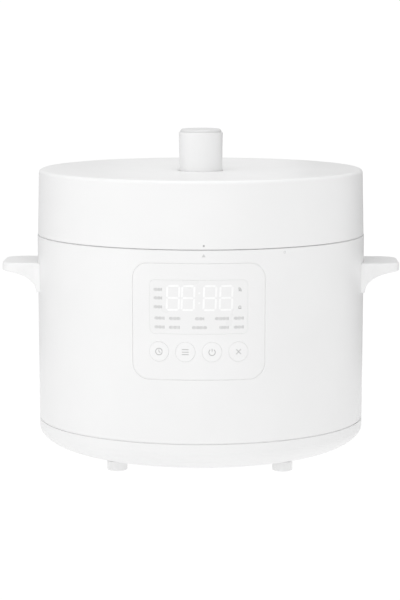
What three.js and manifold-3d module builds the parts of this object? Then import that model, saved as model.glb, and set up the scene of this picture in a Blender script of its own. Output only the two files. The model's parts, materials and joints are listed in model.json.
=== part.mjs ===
// Electric pressure cooker of the 5 litre class, as an assembly of separate pieces.
// Millimetres, +Z up. The origin is on the floor under the centre of the body, the control
// panel faces -Y and the carrying handles point along +X and -X. The lid is closed and locked.

import * as THREE from 'three';
import { mergeVertices } from 'three/addons/utils/BufferGeometryUtils.js';
import Module from 'manifold-3d';

const wasm = await Module();
wasm.setup();

// ---------------------------------------------------------------- driving dimensions

const RING_SIDES = 36; // sides of every full-size ring, so nested rings share their facets
const GAP = 0.3; // clearance between pieces that touch

// Body, from the floor up
const BASE_Z = 8.7; // underside of the base ring, held up by the feet
const SHELL_FOOT_Z = 36.4; // parting line of base ring and shell
const SEAM_Z = 200; // parting line of body and lid
const LID_TOP_Z = 257.6; // rim of the lid cover
const KNOB_RIM_Z = 289.7;
const CAP_TOP_Z = 292.6; // cap of the release button, proud of the knob

const RIM_RADIUS = 145; // shell at the seam
const SHELL_FOOT_RADIUS = 144.26; // shell at its foot: it tapers a little
const SHELL_WALL = 2.2;
const SEAM_GAP = 0.8;
const PARTING_GAP = 0.8;

const BASE_FLAT_RADIUS = 94.8; // where the base ring's curved flank meets its flat underside
const BASE_FLANK_HEIGHT = 20.7;
const BASE_WALL = 2.5;
const BASE_OPENING_RADIUS = 84;

const FOOT_OFFSET = 71.8; // each foot from both centre planes
const FOOT_RADIUS = 8.8;

// Heating chamber
const CHAMBER_RADIUS = 119.5; // outside of the outer pot
const CHAMBER_WALL = 1.5;
const CHAMBER_FLOOR_Z = 42.5;
const CHAMBER_TOP_Z = 199.2;
const HEATER_TOP_Z = 57;
const SHIELD_RADIUS = 124.8;
const RIM_FLOOR_Z = 172; // underside of the gutter around the outer pot

// Inner pot
const POT_RADIUS = 112;
const POT_WALL = 2;
const POT_FLOOR_Z = HEATER_TOP_Z + GAP;
const POT_RIM_Z = 202.8;
const POT_CORNER = 18;

// Bayonet lock: the lid's lugs sit under the outer pot's lugs and clear them after a 28 degree turn
const LUG_COUNT = 6;
const LUG_ANGLE = THREE.MathUtils.degToRad(22);
const CHAMBER_LUG_Z = 189.5;
const CHAMBER_LUG_RADIUS = 126.2;
const LID_LUG_Z = 183.5;
const LID_LUG_RADIUS = 121.6;
const LUG_THICKNESS = 3.5;

// Lid
const LID_BOTTOM_RADIUS = 144.55;
const LID_TOP_RADIUS = 143.3;
const LID_WALL = 2.5;
const LID_EDGE = 3; // rounding of the lid cover's rim
const LID_CENTRE_Z = 255.7; // the cover's top dips a little towards the knob
const RECESS_RADIUS = 19.8; // of the steam outlet ring around the knob
const RECESS_FLOOR_Z = 250.1;
const SKIRT_RADIUS = 129; // outside of the pressure lid
const SKIRT_WALL = 1.6;
const PRESSURE_LID_Z = 216; // underside of the pressure lid's centre
const PRESSURE_LID_TOP_Z = 217.6;
const SEAL_RADIUS = 108.6; // inside of the sealing ring
const KNOB_FOOT_RADIUS = 18.9;
const KNOB_TOP_RADIUS = 19.45;
const KNOB_BORE_RADIUS = 18.5; // where the release button slides
const KNOB_SHOULDER_RADIUS = 15.4;
const KNOB_SHOULDER_Z = 279;
const CAP_RADIUS = 18.2;
const VENT_POSITION = [0, 62];
const FLOAT_POSITION = [0, -62];

// Control panel, on the shell's front
const PANEL_HALF_WIDTH = 55.25;
const PANEL_Z = [91.3, 188.7];
const PANEL_CORNER = 13;
const PANEL_THICKNESS = 2.65;
const PANEL_INSET = 0.15;
const PANEL_GROOVE = 0.45;
const WINDOW_HALF_WIDTH = 41.2;
const WINDOW_Z = [129.6, 175.2];
const WINDOW_CORNER = 4;
const BUTTON_ANGLES = [-13.2, -4.45, 4.45, 13.2].map(THREE.MathUtils.degToRad);
const BUTTON_Z = 114.7;
const BUTTON_RADIUS = 8.3;
const BUTTON_CLEARANCE = 0.35;
const BOARD_FRONT_Y = -129.7;
const SWITCH_HEIGHT = 3.5;
const BUTTON_TRAVEL = 0.8;

// Carrying handles
const HANDLE_TOP_Z = 176;
const HANDLE_TIP_X = 175.6;
const HANDLE_TIP_THICKNESS = 8;
const HANDLE_HALF_WIDTH = 30;
const HANDLE_FLARE_HALF_WIDTH = 42; // where the grip widens into the shell
const HANDLE_FLARE_X = [138, 149];
const HANDLE_CORNER = 15;
const HANDLE_ROOT_Z = 150;

// Rear of the body
const CUP_HALF_WIDTH = 32;
const CUP_Z = [116.8, 168];
const CUP_INNER_Y = 128.5;
const CUP_WALL = 1.7;
const CUP_HEADROOM = 2.6;
const REAR_CLEARANCE = 0.6; // around the cup and the inlet
const NOTCH_HALF_WIDTH = 14; // finger notch under the cup
const NOTCH_DEPTH = 7;
const INLET_HALF_WIDTH = 24.4;
const INLET_Z = [48.6, 83.4];
const INLET_Y = [121, 141.8];
const SOCKET_HALF = [12, 8.25];
const SOCKET_DEPTH = 15.3;

// Spans in Y that run right through the shell's front or rear
const THROUGH_FRONT = [-160, -100];
const THROUGH_REAR = [100, 160];

const SCREW_HOLE_RADIUS = 1.8;
const LID_SCREW_HOLE_RADIUS = 1.6;
const FOOT_STEM_RADIUS = 3.4;

// ---------------------------------------------------------------- materials

const finish = (color, roughness, metalness = 0) =>
  new THREE.MeshStandardMaterial({ color, roughness, metalness });

const whitePlastic = () => finish(0xf1f1f0, 0.42);
const capPlastic = () => finish(0xe6e6e5, 0.42);
const whiteGloss = () => finish(0xf4f4f3, 0.25);
const innerPlastic = () => finish(0xd9d9d6, 0.6);
const aluminium = () => finish(0xbfc1c3, 0.45, 1);
const steel = () => finish(0xc9cbcd, 0.3, 1);
const zincSteel = () => finish(0xa9adb0, 0.5, 1);
const brass = () => finish(0xc8a45c, 0.35, 1);
const coating = () => finish(0x3a3a3c, 0.5);
const silicone = () => finish(0xe6e6e2, 0.7);
const footRubber = () => finish(0xdcdcda, 0.8);
const boardGreen = () => finish(0x2c6b45, 0.6);
const blackPlastic = () => finish(0x232325, 0.5);
const windowPlastic = () => finish(0xe9e9ea, 0.15);

// ---------------------------------------------------------------- solids

// Turns a closed three.js geometry into a solid that can be joined and cut.
function solid(geometry) {
  geometry.deleteAttribute('normal');
  geometry.deleteAttribute('uv');
  const merged = mergeVertices(geometry, 1e-4);
  const corners = merged.index.array;
  const triangles = [];
  for (let i = 0; i < corners.length; i += 3) {
    const [a, b, c] = [corners[i], corners[i + 1], corners[i + 2]];
    if (a !== b && b !== c && c !== a) triangles.push(a, b, c);
  }
  const vertProperties = Float32Array.from(merged.attributes.position.array);
  const triVerts = Uint32Array.from(triangles);
  return new wasm.Manifold(new wasm.Mesh({ numProp: 3, vertProperties, triVerts }));
}

function mesh(name, shape, material) {
  const { vertProperties, triVerts } = shape.getMesh();
  const geometry = new THREE.BufferGeometry();
  geometry.setAttribute('position', new THREE.Float32BufferAttribute(vertProperties, 3));
  geometry.setIndex(new THREE.Uint32BufferAttribute(triVerts, 1));
  geometry.computeVertexNormals();
  const piece = new THREE.Mesh(geometry, material);
  piece.name = name;
  return piece;
}

// A solid of revolution about Z. The profile holds [radius, z] points, counter-clockwise, and
// either starts and ends on the axis or is closed here.
function revolve(profile, sides = RING_SIDES) {
  const onAxis = profile[0][0] === 0;
  const loop = onAxis ? profile : [...profile, profile[0]];
  const points = loop.map(([radius, z]) => new THREE.Vector2(radius, z));
  return solid(new THREE.LatheGeometry(points, sides).rotateX(Math.PI / 2));
}

function block([x0, x1], [y0, y1], [z0, z1]) {
  const geometry = new THREE.BoxGeometry(x1 - x0, y1 - y0, z1 - z0);
  return solid(geometry.translate((x0 + x1) / 2, (y0 + y1) / 2, (z0 + z1) / 2));
}

// A round bar along Z
function bar(radius, [z0, z1], [x, y] = [0, 0], sides = 12) {
  const geometry = new THREE.CylinderGeometry(radius, radius, z1 - z0, sides);
  return solid(geometry.rotateX(Math.PI / 2).translate(x, y, (z0 + z1) / 2));
}

function at(shape, x, y, z = 0) {
  return shape.translate([x, y, z]);
}

function join(shapes) {
  return shapes.reduce((whole, shape) => whole.add(shape));
}

function cut(shape, tools) {
  return tools.reduce((rest, tool) => rest.subtract(tool), shape);
}

const polar = (radius, angle) => [radius * Math.cos(angle), radius * Math.sin(angle)];

const evenAngles = (count, start = 0) =>
  Array.from({ length: count }, (_, i) => start + (i * 2 * Math.PI) / count);

// Points of an elliptical arc between two angles, both ends included
function arc([cx, cy], [rx, ry], from, to, steps) {
  return Array.from({ length: steps + 1 }, (_, i) => {
    const angle = from + ((to - from) * i) / steps;
    return [cx + rx * Math.cos(angle), cy + ry * Math.sin(angle)];
  });
}

function roundedRectangle(halfWidth, [z0, z1], radius) {
  const shape = new THREE.Shape();
  shape.moveTo(-halfWidth + radius, z0);
  shape.lineTo(halfWidth - radius, z0);
  shape.absarc(halfWidth - radius, z0 + radius, radius, -Math.PI / 2, 0);
  shape.lineTo(halfWidth, z1 - radius);
  shape.absarc(halfWidth - radius, z1 - radius, radius, 0, Math.PI / 2);
  shape.lineTo(-halfWidth + radius, z1);
  shape.absarc(-halfWidth + radius, z1 - radius, radius, Math.PI / 2, Math.PI);
  shape.lineTo(-halfWidth, z0 + radius);
  shape.absarc(-halfWidth + radius, z0 + radius, radius, Math.PI, Math.PI * 1.5);
  return shape;
}

// A rounded rectangle in X and Z, run along Y from y0 to y1
function frontPrism(halfWidth, zRange, radius, [y0, y1], curveSegments = 5) {
  const shape = roundedRectangle(halfWidth, zRange, radius);
  const geometry = new THREE.ExtrudeGeometry(shape, { depth: y1 - y0, bevelEnabled: false, curveSegments });
  return solid(geometry.rotateX(Math.PI / 2).translate(0, y1, 0));
}

// One lug of the bayonet lock: a sector of a flat ring
function lug([inner, outer], z, angle) {
  const half = LUG_ANGLE / 2;
  const rim = arc([0, 0], [outer, outer], angle - half, angle + half, 3);
  const root = arc([0, 0], [inner, inner], angle + half, angle - half, 3);
  const outline = new THREE.Shape([...rim, ...root].map(([x, y]) => new THREE.Vector2(x, y)));
  const geometry = new THREE.ExtrudeGeometry(outline, { depth: LUG_THICKNESS, bevelEnabled: false });
  return solid(geometry.translate(0, 0, z));
}

// Round wire along a curve
function wire(points, radius, steps, sides) {
  const section = new THREE.Shape();
  section.absarc(0, 0, radius, 0, Math.PI * 2);
  const extrudePath = new THREE.CatmullRomCurve3(points);
  return solid(new THREE.ExtrudeGeometry(section, { steps, extrudePath, curveSegments: sides }));
}

function coilSpring(radius, wireRadius, [z0, z1], turns) {
  const pointsPerTurn = 8;
  const points = Array.from({ length: turns * pointsPerTurn + 1 }, (_, i) => {
    const share = i / (turns * pointsPerTurn);
    const [x, y] = polar(radius, share * turns * 2 * Math.PI);
    return new THREE.Vector3(x, y, z0 + (z1 - z0) * share);
  });
  return wire(points, wireRadius, turns * pointsPerTurn, 5);
}

// Outside radius of the shell at a height
function shellRadius(z) {
  const share = (z - SHELL_FOOT_Z) / (SEAM_Z - SHELL_FOOT_Z);
  return SHELL_FOOT_RADIUS + (RIM_RADIUS - SHELL_FOOT_RADIUS) * share;
}

// A band of the shell's own surface, from inset to depth below it
function shellBand([z0, z1], inset, depth) {
  return revolve([
    [shellRadius(z0) - depth, z0],
    [shellRadius(z0) - inset, z0],
    [shellRadius(z1) - inset, z1],
    [shellRadius(z1) - depth, z1],
  ]);
}

// Everything inside the shell's surface, moved outwards by an offset
function shellCore([z0, z1], offset) {
  return revolve([
    [0, z0],
    [shellRadius(z0) + offset, z0],
    [shellRadius(z1) + offset, z1],
    [0, z1],
  ]);
}

const widened = ([z0, z1], by) => [z0 - by, z1 + by];

const bothSides = (half) => [-half, half];

// ---------------------------------------------------------------- body casing

function outerShell() {
  const foot = SHELL_FOOT_Z + PARTING_GAP / 2;
  const top = SEAM_Z - SEAM_GAP / 2;
  const edge = 0.6;
  const tube = revolve([
    [shellRadius(foot) - SHELL_WALL, foot],
    [shellRadius(foot), foot],
    [shellRadius(top), top - edge],
    [shellRadius(top) - edge, top],
    [shellRadius(top) - SHELL_WALL, top],
  ]);
  const panel = frontPrism(
    PANEL_HALF_WIDTH + PANEL_GROOVE,
    widened(PANEL_Z, PANEL_GROOVE),
    PANEL_CORNER + PANEL_GROOVE,
    THROUGH_FRONT,
  );
  const cupZ = [CUP_Z[0] - REAR_CLEARANCE, CUP_Z[1] + CUP_HEADROOM];
  const cup = block(bothSides(CUP_HALF_WIDTH + REAR_CLEARANCE), THROUGH_REAR, cupZ);
  const fingerNotch = block(bothSides(NOTCH_HALF_WIDTH), THROUGH_REAR, [CUP_Z[0] - NOTCH_DEPTH, CUP_Z[0]]);
  const inletZ = widened(INLET_Z, REAR_CLEARANCE);
  const inlet = block(bothSides(INLET_HALF_WIDTH + REAR_CLEARANCE), THROUGH_REAR, inletZ);
  return mesh('outer_shell', cut(tube, [panel, cup, fingerNotch, inlet]), whitePlastic());
}

// A dish with a flat middle and a flank that curves up to the shell's foot
function baseRing() {
  const top = SHELL_FOOT_Z - PARTING_GAP / 2;
  const flankTop = BASE_Z + BASE_FLANK_HEIGHT;
  const flankWidth = SHELL_FOOT_RADIUS - BASE_FLAT_RADIUS;
  const centre = [BASE_FLAT_RADIUS, flankTop];
  const outside = arc(centre, [flankWidth, BASE_FLANK_HEIGHT], -Math.PI / 2, 0, 5);
  const insideRadii = [flankWidth - BASE_WALL, BASE_FLANK_HEIGHT - BASE_WALL];
  const inside = arc(centre, insideRadii, 0, -Math.PI / 2, 4);
  const dish = revolve([
    [BASE_OPENING_RADIUS, BASE_Z],
    ...outside,
    [SHELL_FOOT_RADIUS, top],
    [SHELL_FOOT_RADIUS - BASE_WALL, top],
    ...inside,
    [BASE_OPENING_RADIUS, BASE_Z + BASE_WALL],
  ]);
  const footHoles = footPositions().map(([x, y]) => bar(FOOT_STEM_RADIUS + 0.6, [0, 20], [x, y]));
  const screwHoles = baseScrewPositions().map((place) => bar(SCREW_HOLE_RADIUS, [0, 20], place, 8));
  return mesh('base_ring', cut(dish, [...footHoles, ...screwHoles]), whitePlastic());
}

function footPositions() {
  return [[-1, -1], [1, -1], [1, 1], [-1, 1]].map(([x, y]) => [x * FOOT_OFFSET, y * FOOT_OFFSET]);
}

function baseScrewPositions() {
  return evenAngles(4).map((angle) => polar(BASE_OPENING_RADIUS + 4, angle));
}

function foot(name, [x, y]) {
  const chamfer = 1.2;
  const stemTop = 15;
  const shape = revolve([
    [0, 0],
    [FOOT_RADIUS - chamfer, 0],
    [FOOT_RADIUS, chamfer],
    [FOOT_RADIUS, BASE_Z - GAP],
    [FOOT_STEM_RADIUS, BASE_Z - GAP],
    [FOOT_STEM_RADIUS, stemTop],
    [0, stemTop],
  ], 12);
  return mesh(name, at(shape, x, y), footRubber());
}

function bottomCover() {
  const sheet = 1.5;
  const overlap = 7; // onto the base ring, all round
  const underside = BASE_Z + BASE_WALL + GAP;
  const plate = bar(BASE_OPENING_RADIUS + overlap, [underside, underside + sheet], [0, 0], RING_SIDES);
  const ventCount = 10;
  const vents = evenAngles(ventCount).map((angle) =>
    block([34, 62], bothSides(2.5), [0, 30]).rotate([0, 0, THREE.MathUtils.radToDeg(angle)]));
  const screwHoles = baseScrewPositions().map((place) => bar(SCREW_HOLE_RADIUS, [0, 20], place, 8));
  return mesh('bottom_cover', cut(plate, [...vents, ...screwHoles]), zincSteel());
}

// A pan-head screw with its head down, its head's top at z
function panScrew(name, [x, y], z, length, radius) {
  const headRadius = radius * 2;
  const headHeight = 1.6;
  const shape = revolve([
    [0, z - headHeight],
    [headRadius, z - headHeight],
    [headRadius, z],
    [radius, z],
    [radius, z + length],
    [0, z + length],
  ], 8);
  return mesh(name, at(shape, x, y), steel());
}

// Grip on the +X side: flat on top, flared in plan at the shell, with an underside that sweeps down
// into its root
function handleShape() {
  const tipZ = HANDLE_TOP_Z - HANDLE_TIP_THICKNESS;
  const sweep = [HANDLE_TIP_X - RIM_RADIUS - 0.5, tipZ - HANDLE_ROOT_Z];
  const underside = arc([HANDLE_TIP_X - 1, HANDLE_ROOT_Z], sweep, Math.PI, Math.PI / 2, 6);
  const innerX = 130; // inside the shell, which then trims the root
  const side = new THREE.Shape([
    [innerX, HANDLE_TOP_Z],
    [innerX, HANDLE_ROOT_Z],
    ...underside,
    [HANDLE_TIP_X, tipZ + 1],
    [HANDLE_TIP_X, HANDLE_TOP_Z],
  ].map(([x, z]) => new THREE.Vector2(x, z)));
  const depth = HANDLE_FLARE_HALF_WIDTH * 2;
  const profile = new THREE.ExtrudeGeometry(side, { depth, bevelEnabled: false });
  const profileSolid = solid(profile.rotateX(Math.PI / 2).translate(0, HANDLE_FLARE_HALF_WIDTH, 0));
  const cornerX = HANDLE_TIP_X - HANDLE_CORNER;
  const cornerY = HANDLE_HALF_WIDTH - HANDLE_CORNER;
  const radii = [HANDLE_CORNER, HANDLE_CORNER];
  const flareX = HANDLE_FLARE_X[1];
  const flareRadii = [flareX - HANDLE_FLARE_X[0], HANDLE_FLARE_HALF_WIDTH - HANDLE_HALF_WIDTH];
  const plan = new THREE.Shape([
    [innerX, -HANDLE_FLARE_HALF_WIDTH],
    ...arc([flareX, -HANDLE_FLARE_HALF_WIDTH], flareRadii, Math.PI, Math.PI / 2, 5),
    ...arc([cornerX, -cornerY], radii, -Math.PI / 2, 0, 5),
    ...arc([cornerX, cornerY], radii, 0, Math.PI / 2, 5),
    ...arc([flareX, HANDLE_FLARE_HALF_WIDTH], flareRadii, -Math.PI / 2, -Math.PI, 5),
    [innerX, HANDLE_FLARE_HALF_WIDTH],
  ].map(([x, y]) => new THREE.Vector2(x, y)));
  const planProfile = new THREE.ExtrudeGeometry(plan, { depth: 60, bevelEnabled: false });
  const planSolid = solid(planProfile.translate(0, 0, HANDLE_ROOT_Z - 20));
  return profileSolid.intersect(planSolid).subtract(shellCore([120, 190], GAP));
}

function handle(name, turnDegrees) {
  return mesh(name, handleShape().rotate([0, 0, turnDegrees]), whitePlastic());
}

// Gutter that catches condensate around the outer pot, with a drain over the cup at the rear
function rimRing() {
  const outer = shellRadius(RIM_FLOOR_Z) - PANEL_INSET - PANEL_THICKNESS - GAP;
  const inner = CHAMBER_RADIUS + 0.8;
  const wall = 1.5;
  const damZ = 180; // inner edge, so that water stays off the outer pot
  const topZ = 198.8;
  const gutter = revolve([
    [inner, RIM_FLOOR_Z],
    [outer, RIM_FLOOR_Z],
    [outer, topZ],
    [outer - wall, topZ],
    [outer - wall, RIM_FLOOR_Z + wall],
    [inner + wall, RIM_FLOOR_Z + wall],
    [inner + wall, damZ],
    [inner, damZ],
  ]);
  const drain = bar(3, [RIM_FLOOR_Z - 7, RIM_FLOOR_Z + 8], [0, 132]);
  return mesh('rim_ring', cut(gutter, [drain]), innerPlastic());
}

// ---------------------------------------------------------------- heating chamber

function outerPot() {
  const inner = CHAMBER_RADIUS - CHAMBER_WALL;
  const corner = 3.5;
  const opening = 70;
  const pot = revolve([
    [opening, CHAMBER_FLOOR_Z],
    [CHAMBER_RADIUS - corner, CHAMBER_FLOOR_Z],
    [CHAMBER_RADIUS, CHAMBER_FLOOR_Z + corner],
    [CHAMBER_RADIUS, CHAMBER_TOP_Z],
    [inner, CHAMBER_TOP_Z],
    [inner, CHAMBER_FLOOR_Z + corner + CHAMBER_WALL],
    [inner - corner, CHAMBER_FLOOR_Z + CHAMBER_WALL],
    [opening, CHAMBER_FLOOR_Z + CHAMBER_WALL],
  ]);
  const lugs = evenAngles(LUG_COUNT, Math.PI / 6).map((angle) =>
    lug([CHAMBER_RADIUS - 1, CHAMBER_LUG_RADIUS], CHAMBER_LUG_Z, angle));
  return mesh('outer_pot', join([pot, ...lugs]), aluminium());
}

function heatShield() {
  const inner = SHIELD_RADIUS - 0.8;
  const [foot, top] = [17, 168];
  const sheet = revolve([
    [inner, foot],
    [SHIELD_RADIUS, foot],
    [SHIELD_RADIUS, top],
    [inner, top],
  ]);
  const clearance = 3;
  const inletZ = widened(INLET_Z, clearance);
  const inletNotch = block(bothSides(INLET_HALF_WIDTH + clearance), THROUGH_REAR, inletZ);
  return mesh('heat_shield', cut(sheet, [inletNotch]), zincSteel());
}

function heatingPlate() {
  const sensorHole = 17;
  const edge = 88;
  const plate = revolve([
    [sensorHole, HEATER_TOP_Z - 7],
    [edge - 10, HEATER_TOP_Z - 7],
    [edge - 10, CHAMBER_FLOOR_Z + CHAMBER_WALL + GAP],
    [edge - 4, CHAMBER_FLOOR_Z + CHAMBER_WALL + GAP],
    [edge, HEATER_TOP_Z - 6],
    [edge, HEATER_TOP_Z - 1.5],
    [edge - 2, HEATER_TOP_Z],
    [sensorHole, HEATER_TOP_Z],
  ]);
  return mesh('heating_plate', plate, aluminium());
}

// Horseshoe of sheathed element under the plate, with both ends turned down
function heatingElement() {
  const wireRadius = 4;
  const ringRadius = 54;
  const z = HEATER_TOP_Z - 7 - wireRadius - 1.5;
  const opening = THREE.MathUtils.degToRad(24);
  const ring = arc([0, 0], [ringRadius, ringRadius], opening, 2 * Math.PI - opening, 16);
  const points = ring.map(([x, y]) => new THREE.Vector3(x, y, z));
  const first = points[0].clone().add(new THREE.Vector3(1, -7, -12));
  const last = points[points.length - 1].clone().add(new THREE.Vector3(1, 7, -12));
  return mesh('heating_element', wire([first, ...points, last], wireRadius, 36, 3), zincSteel());
}

function sensorHolder() {
  const cup = revolve([
    [3.4, 35.5],
    [16.2, 35.5],
    [16.2, 47],
    [14.9, 47],
    [14.9, 37],
    [3.4, 37],
  ], 16);
  return mesh('sensor_holder', cup, zincSteel());
}

function sensorCap() {
  const cap = revolve([
    [0, 33.5],
    [2.8, 33.5],
    [2.8, 53.2],
    [11.8, 53.2],
    [11.8, 49.5],
    [13.6, 49.5],
    [13.6, HEATER_TOP_Z - 1],
    [12.6, HEATER_TOP_Z],
    [0, HEATER_TOP_Z],
  ], 16);
  return mesh('sensor_cap', cap, aluminium());
}

function sensorSpring() {
  return mesh('sensor_spring', coilSpring(7.5, 0.7, [38.1, 52.2], 4), steel());
}

function innerPot() {
  const inner = POT_RADIUS - POT_WALL;
  const flange = 118.6;
  const flangeThickness = 2.6;
  const cornerCentre = [POT_RADIUS - POT_CORNER, POT_FLOOR_Z + POT_CORNER];
  const innerCorner = POT_CORNER - POT_WALL;
  const pot = revolve([
    [0, POT_FLOOR_Z],
    ...arc(cornerCentre, [POT_CORNER, POT_CORNER], -Math.PI / 2, 0, 3),
    [POT_RADIUS, POT_RIM_Z - flangeThickness],
    [flange, POT_RIM_Z - flangeThickness],
    [flange, POT_RIM_Z],
    [inner, POT_RIM_Z],
    ...arc(cornerCentre, [innerCorner, innerCorner], 0, -Math.PI / 2, 3),
    [0, POT_FLOOR_Z + POT_WALL],
  ]);
  return mesh('inner_pot', pot, coating());
}

// ---------------------------------------------------------------- electrics

function thermalFuse() {
  const geometry = new THREE.CylinderGeometry(2.4, 2.4, 20, 10);
  return mesh('thermal_fuse', solid(geometry.translate(36, 0, HEATER_TOP_Z - 10)), brass());
}

// Opens when pressure pushes the outer pot's floor down
function pressureSwitch() {
  const housing = block([-98, -76], [18, 34], [30, CHAMBER_FLOOR_Z - GAP]);
  const leg = block([-88, -84.5], [20, 32], [13.6, 31]);
  return mesh('pressure_switch', join([housing, leg]), blackPlastic());
}

function powerBoard() {
  const board = block([-48, 48], [-66, -22], [20, 21.6]);
  const pegs = [[-42, -60], [42, -60], [42, -28], [-42, -28]].map((place) => bar(3, [13.4, 20.5], place, 8));
  return mesh('power_board', join([board, ...pegs]), boardGreen());
}

function transformer() {
  return mesh('transformer', block([12, 42], [-58, -32], [21.9, 39]), blackPlastic());
}

function powerRelay() {
  return mesh('power_relay', block([-40, -18], [-54, -38], [21.9, 37]), finish(0x2a5fa8, 0.5));
}

const PIN_HOLES = [
  { name: 'inlet_pin_line', x: -7, z: 63.5 },
  { name: 'inlet_pin_neutral', x: 7, z: 63.5 },
  { name: 'inlet_pin_earth', x: 0, z: 69.5 },
];

function powerInlet() {
  const body = block(bothSides(INLET_HALF_WIDTH), INLET_Y, INLET_Z);
  const middle = (INLET_Z[0] + INLET_Z[1]) / 2;
  const mouth = [INLET_Y[1] - SOCKET_DEPTH, INLET_Y[1] + 1];
  const socket = block(bothSides(SOCKET_HALF[0]), mouth, [middle - SOCKET_HALF[1], middle + SOCKET_HALF[1]]);
  const holes = PIN_HOLES.map(({ x, z }) => block([x - 1.3, x + 1.3], [110, 130], [z - 2.3, z + 2.3]));
  return mesh('power_inlet', cut(body, [socket, ...holes]), blackPlastic());
}

function inletPin({ name, x, z }) {
  return mesh(name, block([x - 1, x + 1], [INLET_Y[0] - 0.5, 137], [z - 2, z + 2]), brass());
}

function reedSwitch() {
  const [x, y] = polar(136, -Math.PI / 3);
  return mesh('reed_switch', block([x - 1, x + 2.5], [y - 3.5, y + 1.5], [164, 171.6]), blackPlastic());
}

// ---------------------------------------------------------------- control panel

function panelBand() {
  return shellBand(widened(PANEL_Z, 2), PANEL_INSET, PANEL_INSET + PANEL_THICKNESS);
}

function controlPanel() {
  const outline = frontPrism(PANEL_HALF_WIDTH, PANEL_Z, PANEL_CORNER, THROUGH_FRONT);
  const windowHole = frontPrism(WINDOW_HALF_WIDTH, WINDOW_Z, WINDOW_CORNER, THROUGH_FRONT, 3);
  const buttonHoles = BUTTON_ANGLES.map((angle) =>
    towardsFront(bar(BUTTON_RADIUS + BUTTON_CLEARANCE, [130, 160], [0, 0], 16), angle));
  const plate = panelBand().intersect(outline);
  return mesh('control_panel', cut(plate, [windowHole, ...buttonHoles]), whitePlastic());
}

// Lays a piece made along +Z down, so that +Z points out of the front at an angle from -Y
function towardsFront(shape, angle) {
  return shape.rotate([90, 0, 0]).rotate([0, 0, THREE.MathUtils.radToDeg(angle)]).translate([0, 0, BUTTON_Z]);
}

function displayLens() {
  const inset = widened(WINDOW_Z, -GAP);
  const outline = frontPrism(WINDOW_HALF_WIDTH - GAP, inset, WINDOW_CORNER, THROUGH_FRONT, 3);
  return mesh('display_lens', panelBand().intersect(outline), windowPlastic());
}

function displayModule() {
  return mesh('display_module', block([-36, 36], [-136.4, BOARD_FRONT_Y - GAP], [134, 171]), whiteGloss());
}

// Board behind the panel, with one key switch behind each button
function controlBoard() {
  const board = block([-48, 48], [BOARD_FRONT_Y, BOARD_FRONT_Y + 1.6], [98, 171.5]);
  const switches = BUTTON_ANGLES.map((angle) => {
    const x = 135 * Math.sin(angle);
    const y = [BOARD_FRONT_Y - SWITCH_HEIGHT, BOARD_FRONT_Y + 0.5];
    return block([x - 3, x + 3], y, widened([BUTTON_Z, BUTTON_Z], 3));
  });
  return mesh('control_board', join([board, ...switches]), boardGreen());
}

// Push button: cap flush with the panel, retaining flange and plunger
function button(name, angle) {
  const switchTop = -BOARD_FRONT_Y + SWITCH_HEIGHT;
  const plunger = 2.4;
  const slack = 0.3; // between a pressed key and its switch, at the plunger's nearest edge
  const reach = switchTop + BUTTON_TRAVEL + slack + plunger * Math.sin(Math.abs(angle));
  const plungerEnd = reach / Math.cos(angle);
  const flange = [shellRadius(BUTTON_Z) - 5.2, shellRadius(BUTTON_Z) - 4];
  const blank = revolve([
    [0, plungerEnd],
    [plunger, plungerEnd],
    [plunger, flange[0]],
    [BUTTON_RADIUS + 1, flange[0]],
    [BUTTON_RADIUS + 1, flange[1]],
    [BUTTON_RADIUS, flange[1]],
    [BUTTON_RADIUS, RIM_RADIUS + 5],
    [0, RIM_RADIUS + 5],
  ], 16);
  const core = shellCore([90, 140], -PANEL_INSET);
  return mesh(name, towardsFront(blank, angle).intersect(core), whitePlastic());
}

// ---------------------------------------------------------------- condensate cup

function condensateCup() {
  const faceInset = 0.3;
  const face = shellCore(CUP_Z, -faceInset);
  const outside = block(bothSides(CUP_HALF_WIDTH), [CUP_INNER_Y, 150], CUP_Z);
  const hollowWidth = CUP_HALF_WIDTH - CUP_WALL;
  const hollowZ = [CUP_Z[0] + CUP_WALL, CUP_Z[1] + 5];
  const hollow = block(bothSides(hollowWidth), [CUP_INNER_Y + CUP_WALL, 150], hollowZ);
  const inside = shellCore(hollowZ, -faceInset - CUP_WALL).intersect(hollow);
  return mesh('condensate_cup', face.intersect(outside).subtract(inside), finish(0xe4e8ea, 0.12));
}

// Tray that the cup slides into, open at the rear and on top
function cupHolder() {
  const floor = CUP_Z[0] - 0.4;
  const wall = 1.8;
  const innerHalf = CUP_HALF_WIDTH + 0.7;
  const innerY = CUP_INNER_Y - 1.3;
  const outside = block(bothSides(innerHalf + wall), [innerY - wall, 150], [floor - wall, 170.5]);
  const inside = block(bothSides(innerHalf), [innerY, 151], [floor, 180]);
  const tray = cut(outside, [inside]).intersect(shellCore([100, 180], -SHELL_WALL - 0.5));
  return mesh('cup_holder', tray, innerPlastic());
}

// ---------------------------------------------------------------- lid

function lidScrewPositions() {
  return evenAngles(3, Math.PI / 6).map((angle) => polar(136, angle));
}

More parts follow.
